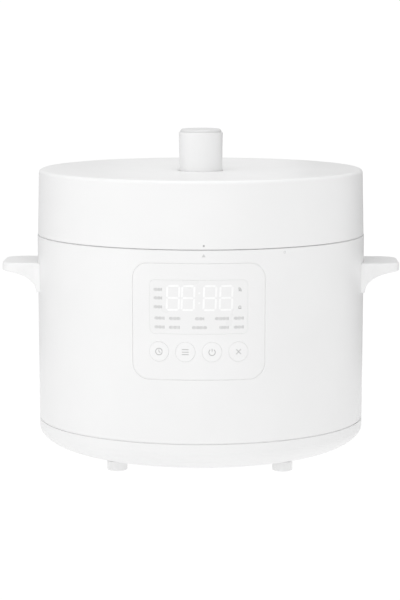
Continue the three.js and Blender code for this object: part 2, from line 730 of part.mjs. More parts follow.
// Plastic cover with a sunk ring around the knob, where the steam leaves, and posts for its screws
function lidCover() {
  const bottom = SEAM_Z + SEAM_GAP / 2;
  const edgeCentre = [LID_TOP_RADIUS - LID_EDGE, LID_TOP_Z - LID_EDGE];
  const floorUnderside = RECESS_FLOOR_Z - LID_WALL;
  const shell = revolve([
    [LID_BOTTOM_RADIUS - LID_WALL, bottom],
    [LID_BOTTOM_RADIUS, bottom],
    ...arc(edgeCentre, [LID_EDGE, LID_EDGE], 0, Math.PI / 2, 2),
    [RECESS_RADIUS, LID_CENTRE_Z],
    [RECESS_RADIUS, RECESS_FLOOR_Z],
    [8, RECESS_FLOOR_Z],
    [8, floorUnderside],
    [RECESS_RADIUS + LID_WALL, floorUnderside],
    [RECESS_RADIUS + LID_WALL, LID_CENTRE_Z - LID_WALL],
    [LID_TOP_RADIUS - LID_WALL - 2, LID_TOP_Z - LID_WALL],
    [LID_TOP_RADIUS - LID_WALL, LID_TOP_Z - LID_WALL - 2],
  ]);
  const posts = lidScrewPositions().map((place) => bar(3.6, [204.6, 256], place, 8));
  const bores = lidScrewPositions().map((place) => bar(LID_SCREW_HOLE_RADIUS, [200, 216], place, 8));
  return mesh('lid_cover', cut(join([shell, ...posts]), bores), whitePlastic());
}

// Hollow knob: the button's spring stands on its inner floor, and steam leaves by its foot
function lidKnob() {
  const wall = 2.7;
  const edge = 0.5;
  const floor = [273, 276];
  const knob = revolve([
    [KNOB_FOOT_RADIUS - wall, RECESS_FLOOR_Z + GAP],
    [KNOB_FOOT_RADIUS, RECESS_FLOOR_Z + GAP],
    [KNOB_TOP_RADIUS, KNOB_RIM_Z - edge],
    [KNOB_TOP_RADIUS - edge, KNOB_RIM_Z],
    [KNOB_BORE_RADIUS, KNOB_RIM_Z],
    [KNOB_BORE_RADIUS, KNOB_SHOULDER_Z],
    [KNOB_SHOULDER_RADIUS, KNOB_SHOULDER_Z],
    [KNOB_SHOULDER_RADIUS, floor[1]],
    [4, floor[1]],
    [4, floor[0]],
    [KNOB_FOOT_RADIUS - wall, floor[0]],
  ], 24);
  const steamSlots = [0, 90].map((degrees) =>
    block([-30, 30], [-4, 4], [RECESS_FLOOR_Z - 1, RECESS_FLOOR_Z + 3]).rotate([0, 0, degrees]));
  return mesh('lid_knob', cut(knob, steamSlots), whitePlastic());
}

function releaseButton() {
  const inside = CAP_RADIUS - 2;
  const edge = 2.2;
  const edgeCentre = [CAP_RADIUS - edge, CAP_TOP_Z - edge];
  const cap = revolve([
    [0, CAP_TOP_Z - 3],
    [inside, CAP_TOP_Z - 3],
    [inside, CAP_TOP_Z - 9],
    [CAP_RADIUS, CAP_TOP_Z - 9],
    ...arc(edgeCentre, [edge, edge], 0, Math.PI / 2, 2),
    [0, CAP_TOP_Z + GAP],
  ], 24);
  return mesh('release_button', cap, capPlastic());
}

function releaseSpring() {
  return mesh('release_spring', coilSpring(9.5, 0.6, [277, CAP_TOP_Z - 4], 4), steel());
}

// Rod under the button. Its head closes the centre of the pressure lid from below.
function releaseStem() {
  const head = 8;
  const rod = 2.5;
  const stem = revolve([
    [0, PRESSURE_LID_Z - 5],
    [head, PRESSURE_LID_Z - 5],
    [head, PRESSURE_LID_Z - GAP],
    [rod, PRESSURE_LID_Z - GAP],
    [rod, CAP_TOP_Z - 3 - GAP],
    [0, CAP_TOP_Z - 3 - GAP],
  ], 12);
  return mesh('release_stem', stem, steel());
}

// Stainless lid with a skirt that carries the inward lugs
function pressureLid() {
  const inside = SKIRT_RADIUS - SKIRT_WALL;
  const seatZ = 213;
  const sheet = PRESSURE_LID_TOP_Z - PRESSURE_LID_Z;
  const lid = revolve([
    [0, PRESSURE_LID_Z],
    [100, PRESSURE_LID_Z],
    [104, seatZ],
    [inside, seatZ],
    [inside, LID_LUG_Z],
    [SKIRT_RADIUS, LID_LUG_Z],
    [SKIRT_RADIUS, seatZ + sheet],
    [105, seatZ + sheet],
    [101, PRESSURE_LID_TOP_Z],
    [0, PRESSURE_LID_TOP_Z],
  ]);
  const lugs = evenAngles(LUG_COUNT, Math.PI / 6).map((angle) =>
    lug([LID_LUG_RADIUS, inside + 1], LID_LUG_Z, angle));
  const through = [PRESSURE_LID_Z - 5, PRESSURE_LID_TOP_Z + 5];
  const holes = [bar(4, through), bar(4.4, through, VENT_POSITION), bar(3.6, through, FLOAT_POSITION)];
  return mesh('pressure_lid', cut(join([lid, ...lugs]), holes), steel());
}

// Ring that closes the cover from below, around the pressure lid's skirt
function lidLiner() {
  const outer = LID_BOTTOM_RADIUS - LID_WALL - 0.5;
  const inner = SKIRT_RADIUS + 0.6;
  const wall = 1.8;
  const [underside, topside, collarZ] = [202, 204, 212];
  const ring = revolve([
    [inner, underside],
    [outer, underside],
    [outer, topside],
    [inner + wall, topside],
    [inner + wall, collarZ],
    [inner, collarZ],
  ]);
  const holes = lidScrewPositions().map((place) => bar(LID_SCREW_HOLE_RADIUS, [200, 206], place, 8));
  return mesh('lid_liner', cut(ring, holes), innerPlastic());
}

function sealingRing() {
  const outer = 118.6;
  const [z0, z1] = [POT_RIM_Z + GAP, 212.7];
  const ring = revolve([
    [SEAL_RADIUS, z0],
    [outer - 1, z0],
    [outer, z0 + 1],
    [outer, z1],
    [SEAL_RADIUS, z1],
  ]);
  return mesh('sealing_ring', ring, silicone());
}

// Plate under the pressure lid that holds the sealing ring's inner edge
function sealCarrier() {
  const outer = SEAL_RADIUS - 0.7;
  const z = 207;
  const plate = revolve([
    [14, z],
    [103, z],
    [outer, z - 2.6],
    [outer, z - 1],
    [103, z + 1.6],
    [14, z + 1.6],
  ]);
  const posts = evenAngles(3).map((angle) =>
    bar(4, [z + 0.5, PRESSURE_LID_Z - GAP], polar(80, angle), 8));
  const holes = [bar(13, [z - 5, z + 5], VENT_POSITION), bar(9, [z - 5, z + 5], FLOAT_POSITION)];
  return mesh('seal_carrier', cut(join([plate, ...posts]), holes), steel());
}

// ---------------------------------------------------------------- valves

function ventPipe() {
  const pipe = revolve([
    [1.6, PRESSURE_LID_Z - 4],
    [7, PRESSURE_LID_Z - 4],
    [7, PRESSURE_LID_Z - GAP],
    [4, PRESSURE_LID_Z - GAP],
    [4, 230],
    [1.6, 230],
  ], 12);
  return mesh('vent_pipe', at(pipe, ...VENT_POSITION), steel());
}

// Weight that keeps the vent pipe shut up to the working pressure
function valveWeight() {
  const weight = revolve([
    [0, 230.4],
    [4.6, 230.4],
    [4.6, 222],
    [12, 222],
    [12, 240],
    [10, 242],
    [0, 242],
  ], 16);
  return mesh('valve_weight', at(weight, ...VENT_POSITION), steel());
}

// Strainer that keeps food out of the vent pipe
function antiBlockCap() {
  const [z0, z1] = [199, PRESSURE_LID_Z - 4 - GAP];
  const cup = revolve([
    [0, z0],
    [11, z0],
    [11, z1],
    [9.8, z1],
    [9.8, z0 + 1.2],
    [0, z0 + 1.2],
  ], 16);
  const slots = [0, 60, 120].map((degrees) =>
    block([-20, 20], [-1.5, 1.5], [z0 + 3, z0 + 7]).rotate([0, 0, degrees]));
  return mesh('anti_block_cap', at(cut(cup, slots), ...VENT_POSITION), steel());
}

// Rises with pressure and blocks the lid's lock
function floatValve() {
  const float = revolve([
    [0, 207],
    [6, 207],
    [6, 209.5],
    [3, 209.5],
    [3, PRESSURE_LID_TOP_Z + 0.4],
    [5, PRESSURE_LID_TOP_Z + 0.4],
    [5, PRESSURE_LID_TOP_Z + 2.4],
    [0, PRESSURE_LID_TOP_Z + 2.4],
  ], 12);
  return mesh('float_valve', at(float, ...FLOAT_POSITION), aluminium());
}

function floatSeal() {
  const ring = revolve([
    [3.4, 209.8],
    [6, 209.8],
    [6, 211],
    [3.4, 211],
  ], 12);
  return mesh('float_seal', at(ring, ...FLOAT_POSITION), silicone());
}

// Tells the reed switch below it that the lid is locked
function lidMagnet() {
  const [x, y] = polar(136, -Math.PI / 3);
  return mesh('lid_magnet', block([x - 1, x + 2.5], [y - 3.5, y + 1.5], [204.3, 208]), zincSteel());
}

// ---------------------------------------------------------------- assembly

const FOOT_NAMES = ['foot_front_left', 'foot_front_right', 'foot_rear_right', 'foot_rear_left'];
const BUTTON_NAMES = ['button_timer', 'button_menu', 'button_start', 'button_cancel'];

const casing = new THREE.Group().add(
  outerShell(),
  baseRing(),
  bottomCover(),
  ...footPositions().map((place, i) => foot(FOOT_NAMES[i], place)),
  ...baseScrewPositions().map((place, i) => panScrew(`base_screw_${i + 1}`, place, BASE_Z - GAP, 8, 1.5)),
  handle('handle_right', 0),
  handle('handle_left', 180),
  rimRing(),
  cupHolder(),
  condensateCup(),
);

const chamber = new THREE.Group().add(
  outerPot(),
  heatShield(),
  heatingPlate(),
  heatingElement(),
  sensorHolder(),
  sensorCap(),
  sensorSpring(),
  innerPot(),
);

const electrics = new THREE.Group().add(
  thermalFuse(),
  pressureSwitch(),
  powerBoard(),
  transformer(),
  powerRelay(),
  powerInlet(),
  ...PIN_HOLES.map(inletPin),
  reedSwitch(),
);

const controls = new THREE.Group().add(
  controlPanel(),
  displayLens(),
  displayModule(),
  controlBoard(),
  ...BUTTON_ANGLES.map((angle, i) => button(BUTTON_NAMES[i], angle)),
);

const lid = new THREE.Group().add(
  lidCover(),
  lidKnob(),
  releaseButton(),
  releaseSpring(),
  releaseStem(),
  pressureLid(),
  lidLiner(),
  sealingRing(),
  sealCarrier(),
  ventPipe(),
  valveWeight(),
  antiBlockCap(),
  floatValve(),
  floatSeal(),
  lidMagnet(),
  ...lidScrewPositions().map((place, i) => panScrew(`lid_screw_${i + 1}`, place, 202 - GAP, 8, 1.3)),
);

const cooker = new THREE.Group().add(casing, chamber, electrics, controls, lid);
cooker.name = 'electric_pressure_cooker';

export default cooker;
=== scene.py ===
# Looks of the electric pressure cooker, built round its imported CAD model.
# Shapes are worked out in millimetres in the CAD's own frame and stored in metres.

import json
import math

import bpy
import numpy as np
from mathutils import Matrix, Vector

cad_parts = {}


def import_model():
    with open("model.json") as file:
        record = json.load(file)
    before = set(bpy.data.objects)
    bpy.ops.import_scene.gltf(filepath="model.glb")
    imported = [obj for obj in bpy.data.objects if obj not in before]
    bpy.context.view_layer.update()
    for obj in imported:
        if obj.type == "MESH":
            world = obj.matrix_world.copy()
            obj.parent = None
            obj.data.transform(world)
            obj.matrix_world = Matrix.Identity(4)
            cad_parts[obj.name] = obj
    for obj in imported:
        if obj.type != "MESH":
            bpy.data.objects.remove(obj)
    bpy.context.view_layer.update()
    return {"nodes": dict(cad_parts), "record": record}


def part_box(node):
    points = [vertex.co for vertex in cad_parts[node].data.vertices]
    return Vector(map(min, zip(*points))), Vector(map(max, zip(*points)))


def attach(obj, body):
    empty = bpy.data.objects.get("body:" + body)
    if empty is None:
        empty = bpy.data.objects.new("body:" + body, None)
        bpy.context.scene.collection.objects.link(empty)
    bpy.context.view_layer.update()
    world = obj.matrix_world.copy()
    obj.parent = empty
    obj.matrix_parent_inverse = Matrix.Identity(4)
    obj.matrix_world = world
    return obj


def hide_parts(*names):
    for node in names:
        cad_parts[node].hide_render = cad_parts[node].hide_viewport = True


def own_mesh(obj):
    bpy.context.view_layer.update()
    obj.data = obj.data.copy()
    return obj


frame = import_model()

MM = 0.001
RING_SIDES = 288  # of every full-size ring
SMALL_SIDES = 96

record = frame["record"]
BODY_OF = {node: body for body, nodes in record["behaviour"]["bodies"].items() for node in nodes}
SLOT_OF = {part["node"]: part["material_slot"] for part in record["subparts"]}


def span(node):
    """Lowest and highest corner of a CAD node, in millimetres."""
    low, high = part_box(node)
    return low / MM, high / MM


# ---------------------------------------------------------------- driving dimensions, from the frame

shell_low, shell_high = span("outer_shell")
base_low, base_high = span("base_ring")
lid_low, lid_high = span("lid_cover")
knob_low, knob_high = span("lid_knob")
cap_low, cap_high = span("release_button")
panel_low, panel_high = span("control_panel")
window_low, window_high = span("display_lens")

RIM_RADIUS = shell_high.y
FOOT_RADIUS = base_high.y  # of the shell, where it meets the base ring
SEAM_Z = (shell_high.z + lid_low.z) / 2
PARTING_Z = (shell_low.z + base_high.z) / 2
WALL = 2.2
PANEL_INSET = 0.15
LIP, LIP_HEIGHT = 0.65, 2.6  # the shell's lip over the base ring's tongue

LID_RADIUS = lid_high.y
LID_DRAFT = 1.25  # the lid's rim is this much smaller at its top
RECESS_RADIUS = 19.8
RECESS_FLOOR = knob_low.z - 0.3

FRONT = -math.pi / 2
CROSS = (0, math.pi / 2)  # turns of two cuts that cross each other

FEET = ("foot_front_left", "foot_front_right", "foot_rear_right", "foot_rear_left")
BASE_SCREWS = [f"base_screw_{k}" for k in range(1, 5)]
LID_SCREWS = [f"lid_screw_{k}" for k in range(1, 4)]
INLET_PINS = ("inlet_pin_line", "inlet_pin_neutral", "inlet_pin_earth")
BUTTON_NAMES = ("button_timer", "button_menu", "button_start", "button_cancel")
SCREW_HOLE, LID_SCREW_HOLE = 1.8, 1.6  # radii
WHITE = (1.0, 1.0, 1.0, 1.0)


# ---------------------------------------------------------------- outlines

def rounded(corners, steps=6):
    """Closed outline through corners (a, b) or (a, b, radius), each radius drawn as an arc."""
    points = []
    for i, (a, b, *radius) in enumerate(corners):
        here = Vector((a, b))
        if not radius or radius[0] <= 0:
            points.append(here)
            continue
        to_last = (Vector(corners[i - 1][:2]) - here).normalized()
        to_next = (Vector(corners[(i + 1) % len(corners)][:2]) - here).normalized()
        half = to_last.angle(to_next) / 2
        centre = here + (to_last + to_next).normalized() * radius[0] / math.sin(half)
        first = here + to_last * radius[0] / math.tan(half) - centre
        last = here + to_next * radius[0] / math.tan(half) - centre
        turn = math.pi - 2 * half
        for k in range(steps + 1):
            share = k / steps
            swing = first * math.sin((1 - share) * turn) + last * math.sin(share * turn)
            points.append(centre + swing / math.sin(turn))
    return [p for i, p in enumerate(points) if (p - points[i - 1]).length > 1e-4]


def ellipse_arc(centre, radii, start, end, steps):
    """Points of an elliptical arc between two angles, both ends included."""
    angles = [start + (end - start) * k / steps for k in range(steps + 1)]
    return [(centre[0] + radii[0] * math.cos(a), centre[1] + radii[1] * math.sin(a)) for a in angles]


def rectangle(half_width, low, high, corner, centre=0.0, longest=2.5):
    """A rounded rectangle as a function of how far it is grown outwards."""
    lengths = (2 * (half_width - corner), high - low - 2 * corner)
    counts = [max(1, math.ceil(length / longest)) for length in lengths]

    def grown(grow):
        left, right = centre - half_width - grow, centre + half_width + grow
        bottom, top = low - grow, high + grow
        radius = max(corner + grow, 0.05)
        corners = [(left, bottom), (right, bottom), (right, top), (left, top)]
        return with_even_sides(rounded([(a, b, radius) for a, b in corners], 8), counts)
    return grown


def with_even_sides(points, counts):
    """Splits the four straight sides of a rounded rectangle into fixed counts."""
    result = []
    per_corner = len(points) // 4
    for i, point in enumerate(points):
        result.append(point)
        if (i + 1) % per_corner == 0:
            side = (i // per_corner) % 2
            following = points[(i + 1) % len(points)]
            result += [point.lerp(following, k / counts[side]) for k in range(1, counts[side])]
    return result


def circle(centre, radius, sides=64):
    """A circle as a function of how far it is grown outwards."""
    def grown(grow):
        return [
            Vector((centre[0] + (radius + grow) * math.cos(a), centre[1] + (radius + grow) * math.sin(a)))
            for a in (2 * math.pi * k / sides for k in range(sides))
        ]
    return grown


# ---------------------------------------------------------------- the round wall

def wall_radius(z):
    """Outside radius of the shell at a height."""
    share = (z - PARTING_Z) / (SEAM_Z - PARTING_Z)
    return FOOT_RADIUS + (RIM_RADIUS - FOOT_RADIUS) * share


def lid_wall_radius(z):
    return LID_RADIUS - LID_DRAFT * (z - lid_low.z) / (lid_high.z - lid_low.z)


def along_at(degrees):
    """Distance along the wall to an angle round the body, from the middle of the front."""
    return math.radians(degrees) * RIM_RADIUS


def on_wall(facing, radius_at=wall_radius):
    """Places (distance along the wall, height, lift above it) on the round wall."""
    def place(along, z, lift):
        angle = facing + along / RIM_RADIUS
        radius = radius_at(z) + lift
        return (radius * math.cos(angle), radius * math.sin(angle), z)
    return place


def across_rear(x, z, lift):
    """Places a point straight behind the wall: sideways distance, height, lift above it."""
    radius = wall_radius(z) + lift
    return (-x, math.sqrt(radius * radius - x * x), z)


# ---------------------------------------------------------------- solids

def added(name, data):
    """A new object in the scene."""
    piece = bpy.data.objects.new(name, data)
    bpy.context.scene.collection.objects.link(piece)
    return piece


def new_piece(name, points, faces):
    mesh = bpy.data.meshes.new(name)
    mesh.from_pydata([tuple(c * MM for c in p) for p in points], [], faces)
    mesh.validate()
    return added(name, mesh)


def lathe(name, corners, sides=RING_SIDES, centre=(0, 0), steps=6):
    """A solid of revolution about Z, from a closed outline of (radius, z[, fillet]) corners."""
    outline = rounded(corners, steps)
    points, rings = [], []
    for radius, z in outline:
        if radius < 1e-4:
            rings.append([len(points)])
            points.append((centre[0], centre[1], z))
            continue
        rings.append(list(range(len(points), len(points) + sides)))
        angles = (2 * math.pi * k / sides for k in range(sides))
        points += [(centre[0] + radius * math.cos(a), centre[1] + radius * math.sin(a), z) for a in angles]
    faces = []
    for i, ring in enumerate(rings):
        faces += bridge(rings[i - 1], ring)
    return new_piece(name, points, outwards(points, faces))


def bridge(lower, upper):
    """Quads, or triangles to a single point, between two closed rings of vertices."""
    if len(lower) == 1 and len(upper) == 1:
        return []
    if len(lower) == 1:
        return [(lower[0], upper[(k + 1) % len(upper)], upper[k]) for k in range(len(upper))]
    if len(upper) == 1:
        return [(lower[k], lower[(k + 1) % len(lower)], upper[0]) for k in range(len(lower))]
    count = len(lower)
    return [(lower[k], lower[(k + 1) % count], upper[(k + 1) % count], upper[k]) for k in range(count)]


def outwards(points, faces):
    """Turns a closed surface's faces outwards, from the sign of its volume."""
    corners = np.array(points, float)
    fans = np.array([(face[0], face[k], face[k + 1]) for face in faces for k in range(1, len(face) - 1)])
    first, second, third = (corners[fans[:, k]] for k in range(3))
    volume = np.sum(first * np.cross(second, third))
    return faces if volume > 0 else [tuple(reversed(face)) for face in faces]


def ringed(sections):
    """The points, the rings of point numbers and the side faces of a surface through closed rings."""
    points, rings, faces = [], [], []
    for section in sections:
        rings.append(list(range(len(points), len(points) + len(section))))
        points += section
    for lower, upper in zip(rings, rings[1:]):
        faces += bridge(lower, upper)
    return points, rings, faces


def loft(name, outline, levels, place):
    """A solid through one outline at several levels: levels holds (grow, lift), innermost first."""
    points, rings, faces = ringed([place(a, z, lift) for a, z in outline(grow)] for grow, lift in levels)
    for ring, (grow, lift) in ((rings[0], levels[0]), (rings[-1], levels[-1])):
        middle = sum(outline(grow), Vector((0, 0))) / len(ring)
        points.append(place(middle.x, middle.y, lift))
        fan = bridge(ring, [len(points) - 1])
        faces += fan if ring is rings[-1] else [tuple(reversed(face)) for face in fan]
    return new_piece(name, points, outwards(points, faces))


def prism(name, outline, low, high, place):
    """An outline run straight between two levels."""
    return loft(name, outline, [(0, low), (0, high)], place)


def run_back(x, z, y):
    """Stands an outline upright, square to the Y axis."""
    return (x, y, z)


def run_up(x, y, z):
    """Lays an outline flat where it is."""
    return (x, y, z)


def facing(turn):
    """Stands an outline upright, at a reach from the Z axis in the direction of turn."""
    def place(a, z, reach):
        x = reach * math.cos(turn) - a * math.sin(turn)
        y = reach * math.sin(turn) + a * math.cos(turn)
        return (x, y, z)
    return place


def round_bar(name, radius, z_range, centre, sides=32):
    low, high = z_range
    return lathe(name, [(0, low), (radius, low), (radius, high), (0, high)], sides, centre)


def bars_at(nodes, radius, z_range):
    """A round bar at each of some small pieces, to cut its hole or to stand as its post."""
    return [round_bar("bar", radius, z_range, centre_of(node)) for node in nodes]


def drum(low, high, lift):
    """All that is inside the wall's curve, moved out by lift, between two heights."""
    return lathe("drum", [
        (0, low), (wall_radius(low) + lift, low), (wall_radius(high) + lift, high), (0, high),
    ])


def rounded_edge(radius, face, steps):
    """Levels of an outer edge that is rounded up to a face at the given lift."""
    turns = (k * math.pi / (2 * steps) for k in range(steps + 1))
    return [(-radius * (1 - math.cos(a)), face - radius * (1 - math.sin(a))) for a in turns]


def edge_levels(radius, depth, inward, steps=5):
    """Levels of a cutter or plug with a rounded edge at the surface, from depth to well outside it.
    inward is -1 for a plug, which is smaller at its face, and 1 for a hole, which is wider there."""
    arc = [(k / steps) * math.pi / 2 for k in range(steps + 1)]
    levels = [(0.0, -depth)]
    levels += [(inward * radius * (1 - math.cos(a)), -radius + (radius - 0.01) * math.sin(a)) for a in arc]
    return levels + [(levels[-1][0], 20.0)]


def carve(piece, *tools, operation="DIFFERENCE"):
    """Cuts, joins or intersects a piece with tool pieces, which are used up."""
    for tool in tools:
        modifier = piece.modifiers.new("carve", "BOOLEAN")
        modifier.operation = operation
        modifier.object = tool
        modifier.solver = "MANIFOLD"
    bake_modifiers(piece)
    for tool in tools:
        bpy.data.objects.remove(tool)
    return piece


def bake_modifiers(piece):
    bpy.context.view_layer.update()
    depsgraph = bpy.context.evaluated_depsgraph_get()
    piece.data = bpy.data.meshes.new_from_object(piece.evaluated_get(depsgraph))
    piece.modifiers.clear()


def merged(name, pieces):
    """Several separate solids as one piece."""
    points, faces = [], []
    for piece in pieces:
        start = len(points)
        points += [tuple(v.co / MM) for v in piece.data.vertices]
        faces += [tuple(start + i for i in polygon.vertices) for polygon in piece.data.polygons]
        bpy.data.objects.remove(piece)
    return new_piece(name, points, faces)


def shade(piece, round_wall=False, crease=32):
    """Smooth shading with creases and flat faces kept flat. round_wall gives a cut wall exact normals."""
    mesh = piece.data
    mesh.shade_smooth()
    mesh.set_sharp_from_angle(angle=math.radians(crease))
    modifier = piece.modifiers.new("shading", "WEIGHTED_NORMAL")
    modifier.keep_sharp = True
    modifier.weight = 100
    bake_modifiers(piece)
    if round_wall:
        straighten_wall_normals(piece.data)
    return piece


def straighten_wall_normals(mesh):
    """Normals of a wall that is round about the Z axis, where cuts have left its faces uneven."""
    normals = np.array([corner.vector for corner in mesh.corner_normals])
    places = np.array([v.co for v in mesh.vertices])
    for polygon in mesh.polygons:
        across = Vector((polygon.center.x, polygon.center.y, 0))
        upright = math.hypot(polygon.normal.x, polygon.normal.y)
        radial = polygon.normal.dot(across.normalized())
        if upright < 0.99 or abs(radial) < 0.9985:
            continue
        for k in polygon.loop_indices:
            x, y, _ = places[mesh.loops[k].vertex_index]
            reach = math.copysign(upright / math.hypot(x, y), radial)
            normals[k] = (x * reach, y * reach, polygon.normal.z)
    mesh.normals_split_custom_set(normals.tolist())


# ---------------------------------------------------------------- materials

class Surface:
    """A Principled material whose nodes read the piece's own coordinates, in metres."""

    def __init__(self, name, **constants):
        self.material = bpy.data.materials.new(name)
        self.material.use_nodes = True
        self.tree = self.material.node_tree
        self.shader = self.tree.nodes["Principled BSDF"]
        self.coordinates = self.tree.nodes.new("ShaderNodeTexCoord").outputs["Object"]
        self.height = None
        for socket, value in constants.items():
            self.shader.inputs[socket.replace("_", " ")].default_value = value

    def node(self, kind, **inputs):
        node = self.tree.nodes.new("ShaderNode" + kind)
        for socket, value in inputs.items():
            self.feed(node.inputs[socket.replace("_", " ")], value)
        return node

    def feed(self, socket, value):
        if isinstance(value, bpy.types.NodeSocket):
            self.tree.links.new(value, socket)
        else:
            socket.default_value = value

    def stretched(self, scale):
        return self.node("Mapping", Vector=self.coordinates, Scale=scale).outputs["Vector"]

    def rings(self):
        """Coordinates that change only with the distance from the Z axis and with height."""
        apart = self.node("SeparateXYZ", Vector=self.coordinates).outputs
        flat = self.node("CombineXYZ", X=apart["X"], Y=apart["Y"]).outputs["Vector"]
        length = self.node("VectorMath", Vector=flat)
        length.operation = "LENGTH"
        return self.node("CombineXYZ", X=length.outputs["Value"], Z=apart["Z"]).outputs["Vector"]

    def noise(self, scale, detail=3.0, where=None):
        texture = self.node("TexNoise", Vector=where or self.coordinates, Scale=scale, Detail=detail)
        return texture.outputs["Fac"]

    def spread(self, value, low, high, start=0.3, end=0.7):
        """A noise value stretched from its usual range onto low to high."""
        node = self.node("MapRange", Value=value)
        for socket, number in zip(("From Min", "From Max", "To Min", "To Max"), (start, end, low, high)):
            node.inputs[socket].default_value = number
        return node.outputs["Result"]

    def blend(self, share, first, second):
        mix = self.tree.nodes.new("ShaderNodeMix")
        mix.data_type = "RGBA"
        self.feed(mix.inputs[0], share)
        self.feed(mix.inputs[6], first)
        self.feed(mix.inputs[7], second)
        return mix.outputs[2]

    def combine(self, operation, *values):
        node = self.tree.nodes.new("ShaderNodeMath")
        node.operation = operation
        for socket, value in zip(node.inputs, values):
            self.feed(socket, value)
        return node.outputs["Value"]

    def edges(self, radius_mm):
        """1 on outer edges and 0 elsewhere: a mask for edges rubbed smoother and for a painted edge
        highlight.
        """
        rounded_normal = self.node("Bevel", Radius=radius_mm * MM)
        rounded_normal.samples = 4
        true_normal = self.tree.nodes.new("ShaderNodeNewGeometry").outputs["Normal"]
        facing = self.tree.nodes.new("ShaderNodeVectorMath")
        facing.operation = "DOT_PRODUCT"
        self.feed(facing.inputs[0], rounded_normal.outputs["Normal"])
        self.feed(facing.inputs[1], true_normal)
        return self.spread(facing.outputs["Value"], 1.0, 0.0, start=0.8, end=0.98)

    def bump(self, height, depth_mm, strength=1.0):
        inputs = dict(Height=height, Strength=strength, Distance=depth_mm * MM)
        if self.height is not None:
            inputs["Normal"] = self.height
        self.height = self.node("Bump", **inputs).outputs["Normal"]
        self.feed(self.shader.inputs["Normal"], self.height)

    def set(self, socket, value):
        self.feed(self.shader.inputs[socket], value)

    def mottle(self, scale, first, second):
        """Gives a base colour that drifts between two colours."""
        self.set("Base Color", self.blend(self.spread(self.noise(scale), 0.0, 1.0), first, second))

    def finish(self, colours, shine, grain):
        """The material from a drifting colour (scale, first, second), a drifting roughness
        (scale, low, high) and a fine grain (scale, depth in mm, strength)."""
        self.mottle(*colours)
        return self.worked(shine, grain)

    def worked(self, shine, grain):
        self.set("Roughness", self.spread(self.noise(shine[0]), *shine[1:]))
        self.bump(self.noise(grain[0], 2.0), *grain[1:])
        return self.material


def grey(level, warm=0.0):
    return (level * (1 + warm), level, level * (1 - warm), 1.0)


def moulded_plastic(name, level, roughness, grain_mm=0.004, warm=0.0, **constants):
    """Satin moulded plastic: faint clouding, fine spark-eroded grain, edges rubbed smoother and painted
    lighter as a painted highlight.
    """
    s = Surface(name, **constants)
    # Mask of the outer edges: they are rubbed smoother (wear) and also painted lighter (a painted highlight).
    rubbed_and_highlit_edges = s.edges(0.5)
    clouds = s.spread(s.noise(14.0), 0.0, 1.0)
    colour = s.blend(clouds, grey(level * 0.985, warm), grey(level * 1.01, warm))
    # The outer edges are painted lighter here: a painted highlight, not a colour of the plastic.
    s.set("Base Color", s.blend(rubbed_and_highlit_edges, colour, grey(min(level * 1.03, 0.95), warm)))
    patches = s.spread(s.noise(55.0), roughness - 0.035, roughness + 0.035)
    s.set("Roughness", s.combine("MULTIPLY_ADD", rubbed_and_highlit_edges, -0.12, patches))
    s.bump(s.noise(2600.0, 2.0), grain_mm, 0.5)
    return s.material


def rubber(name, level):
    colours = (90.0, grey(level * 0.94), grey(level * 1.04))
    return Surface(name).finish(colours, (300.0, 0.6, 0.78), (1700.0, 0.012, 0.6))


def turned_metal(name, level, roughness, warm=0.0, lines=2400.0):
    """Spun or lathe-turned metal: fine rings about the axis, with faint stains."""
    s = Surface(name, Metallic=1.0, Anisotropic=0.4)
    fine = s.noise(lines, 2.0, s.rings())
    s.mottle(22.0, grey(level * 0.93, warm), grey(level, warm))
    s.set("Roughness", s.spread(fine, roughness - 0.06, roughness + 0.08))
    s.bump(fine, 0.006, 0.5)
    return s.material


def sheet_metal(name, level, roughness, warm=0.0):
    """Plated sheet metal: spangled clouding and a fine brushed grain."""
    s = Surface(name, Metallic=1.0)
    grain = s.noise(700.0, 2.0, s.stretched((1.0, 1.0, 14.0)))
    s.mottle(120.0, grey(level * 0.9, warm), grey(level, warm))
    s.set("Roughness", s.spread(grain, roughness - 0.07, roughness + 0.08))
    s.bump(grain, 0.004, 0.5)
    return s.material


def non_stick(name):
    """Dark sprayed coating with pale mineral specks."""
    s = Surface(name, Coat_Weight=0.25, Coat_Roughness=0.3)
    cells = s.node("TexVoronoi", Vector=s.coordinates, Scale=420.0)
    specks = s.spread(cells.outputs["Distance"], 1.0, 0.0, start=0.08, end=0.2)
    tone = s.blend(s.spread(s.noise(40.0), 0.0, 1.0), grey(0.028), grey(0.04))
    s.set("Base Color", s.blend(specks, tone, grey(0.16)))
    return s.worked((500.0, 0.36, 0.5), (1500.0, 0.015, 0.5))


def silicone(name):
    s = Surface(name, Subsurface_Weight=0.4, Subsurface_Scale=0.004, IOR=1.41)
    return s.finish((60.0, grey(0.68, 0.01), grey(0.74, 0.01)), (260.0, 0.42, 0.58), (900.0, 0.01, 0.5))


def frosted_plastic(name):
    """Clear plastic with a spark-eroded, frosted face."""
    s = Surface(name, IOR=1.49, Transmission_Weight=0.55)
    return s.finish((30.0, grey(0.8), grey(0.86)), (400.0, 0.28, 0.42), (2200.0, 0.006, 0.5))


def circuit_board(name):
    """Green solder mask over faint copper tracks."""
    s = Surface(name, Coat_Weight=0.4, Coat_Roughness=0.2)
    tracks = s.node("TexBrick", Vector=s.coordinates, Scale=260.0)
    tracks.inputs["Mortar Size"].default_value = 0.06
    shade_share = s.spread(tracks.outputs["Fac"], 0.0, 1.0, start=0.0, end=1.0)
    s.set("Base Color", s.blend(shade_share, (0.02, 0.13, 0.05, 1.0), (0.06, 0.26, 0.11, 1.0)))
    s.set("Roughness", s.spread(s.noise(300.0), 0.35, 0.5))
    s.bump(tracks.outputs["Fac"], 0.03, 0.4)
    return s.material


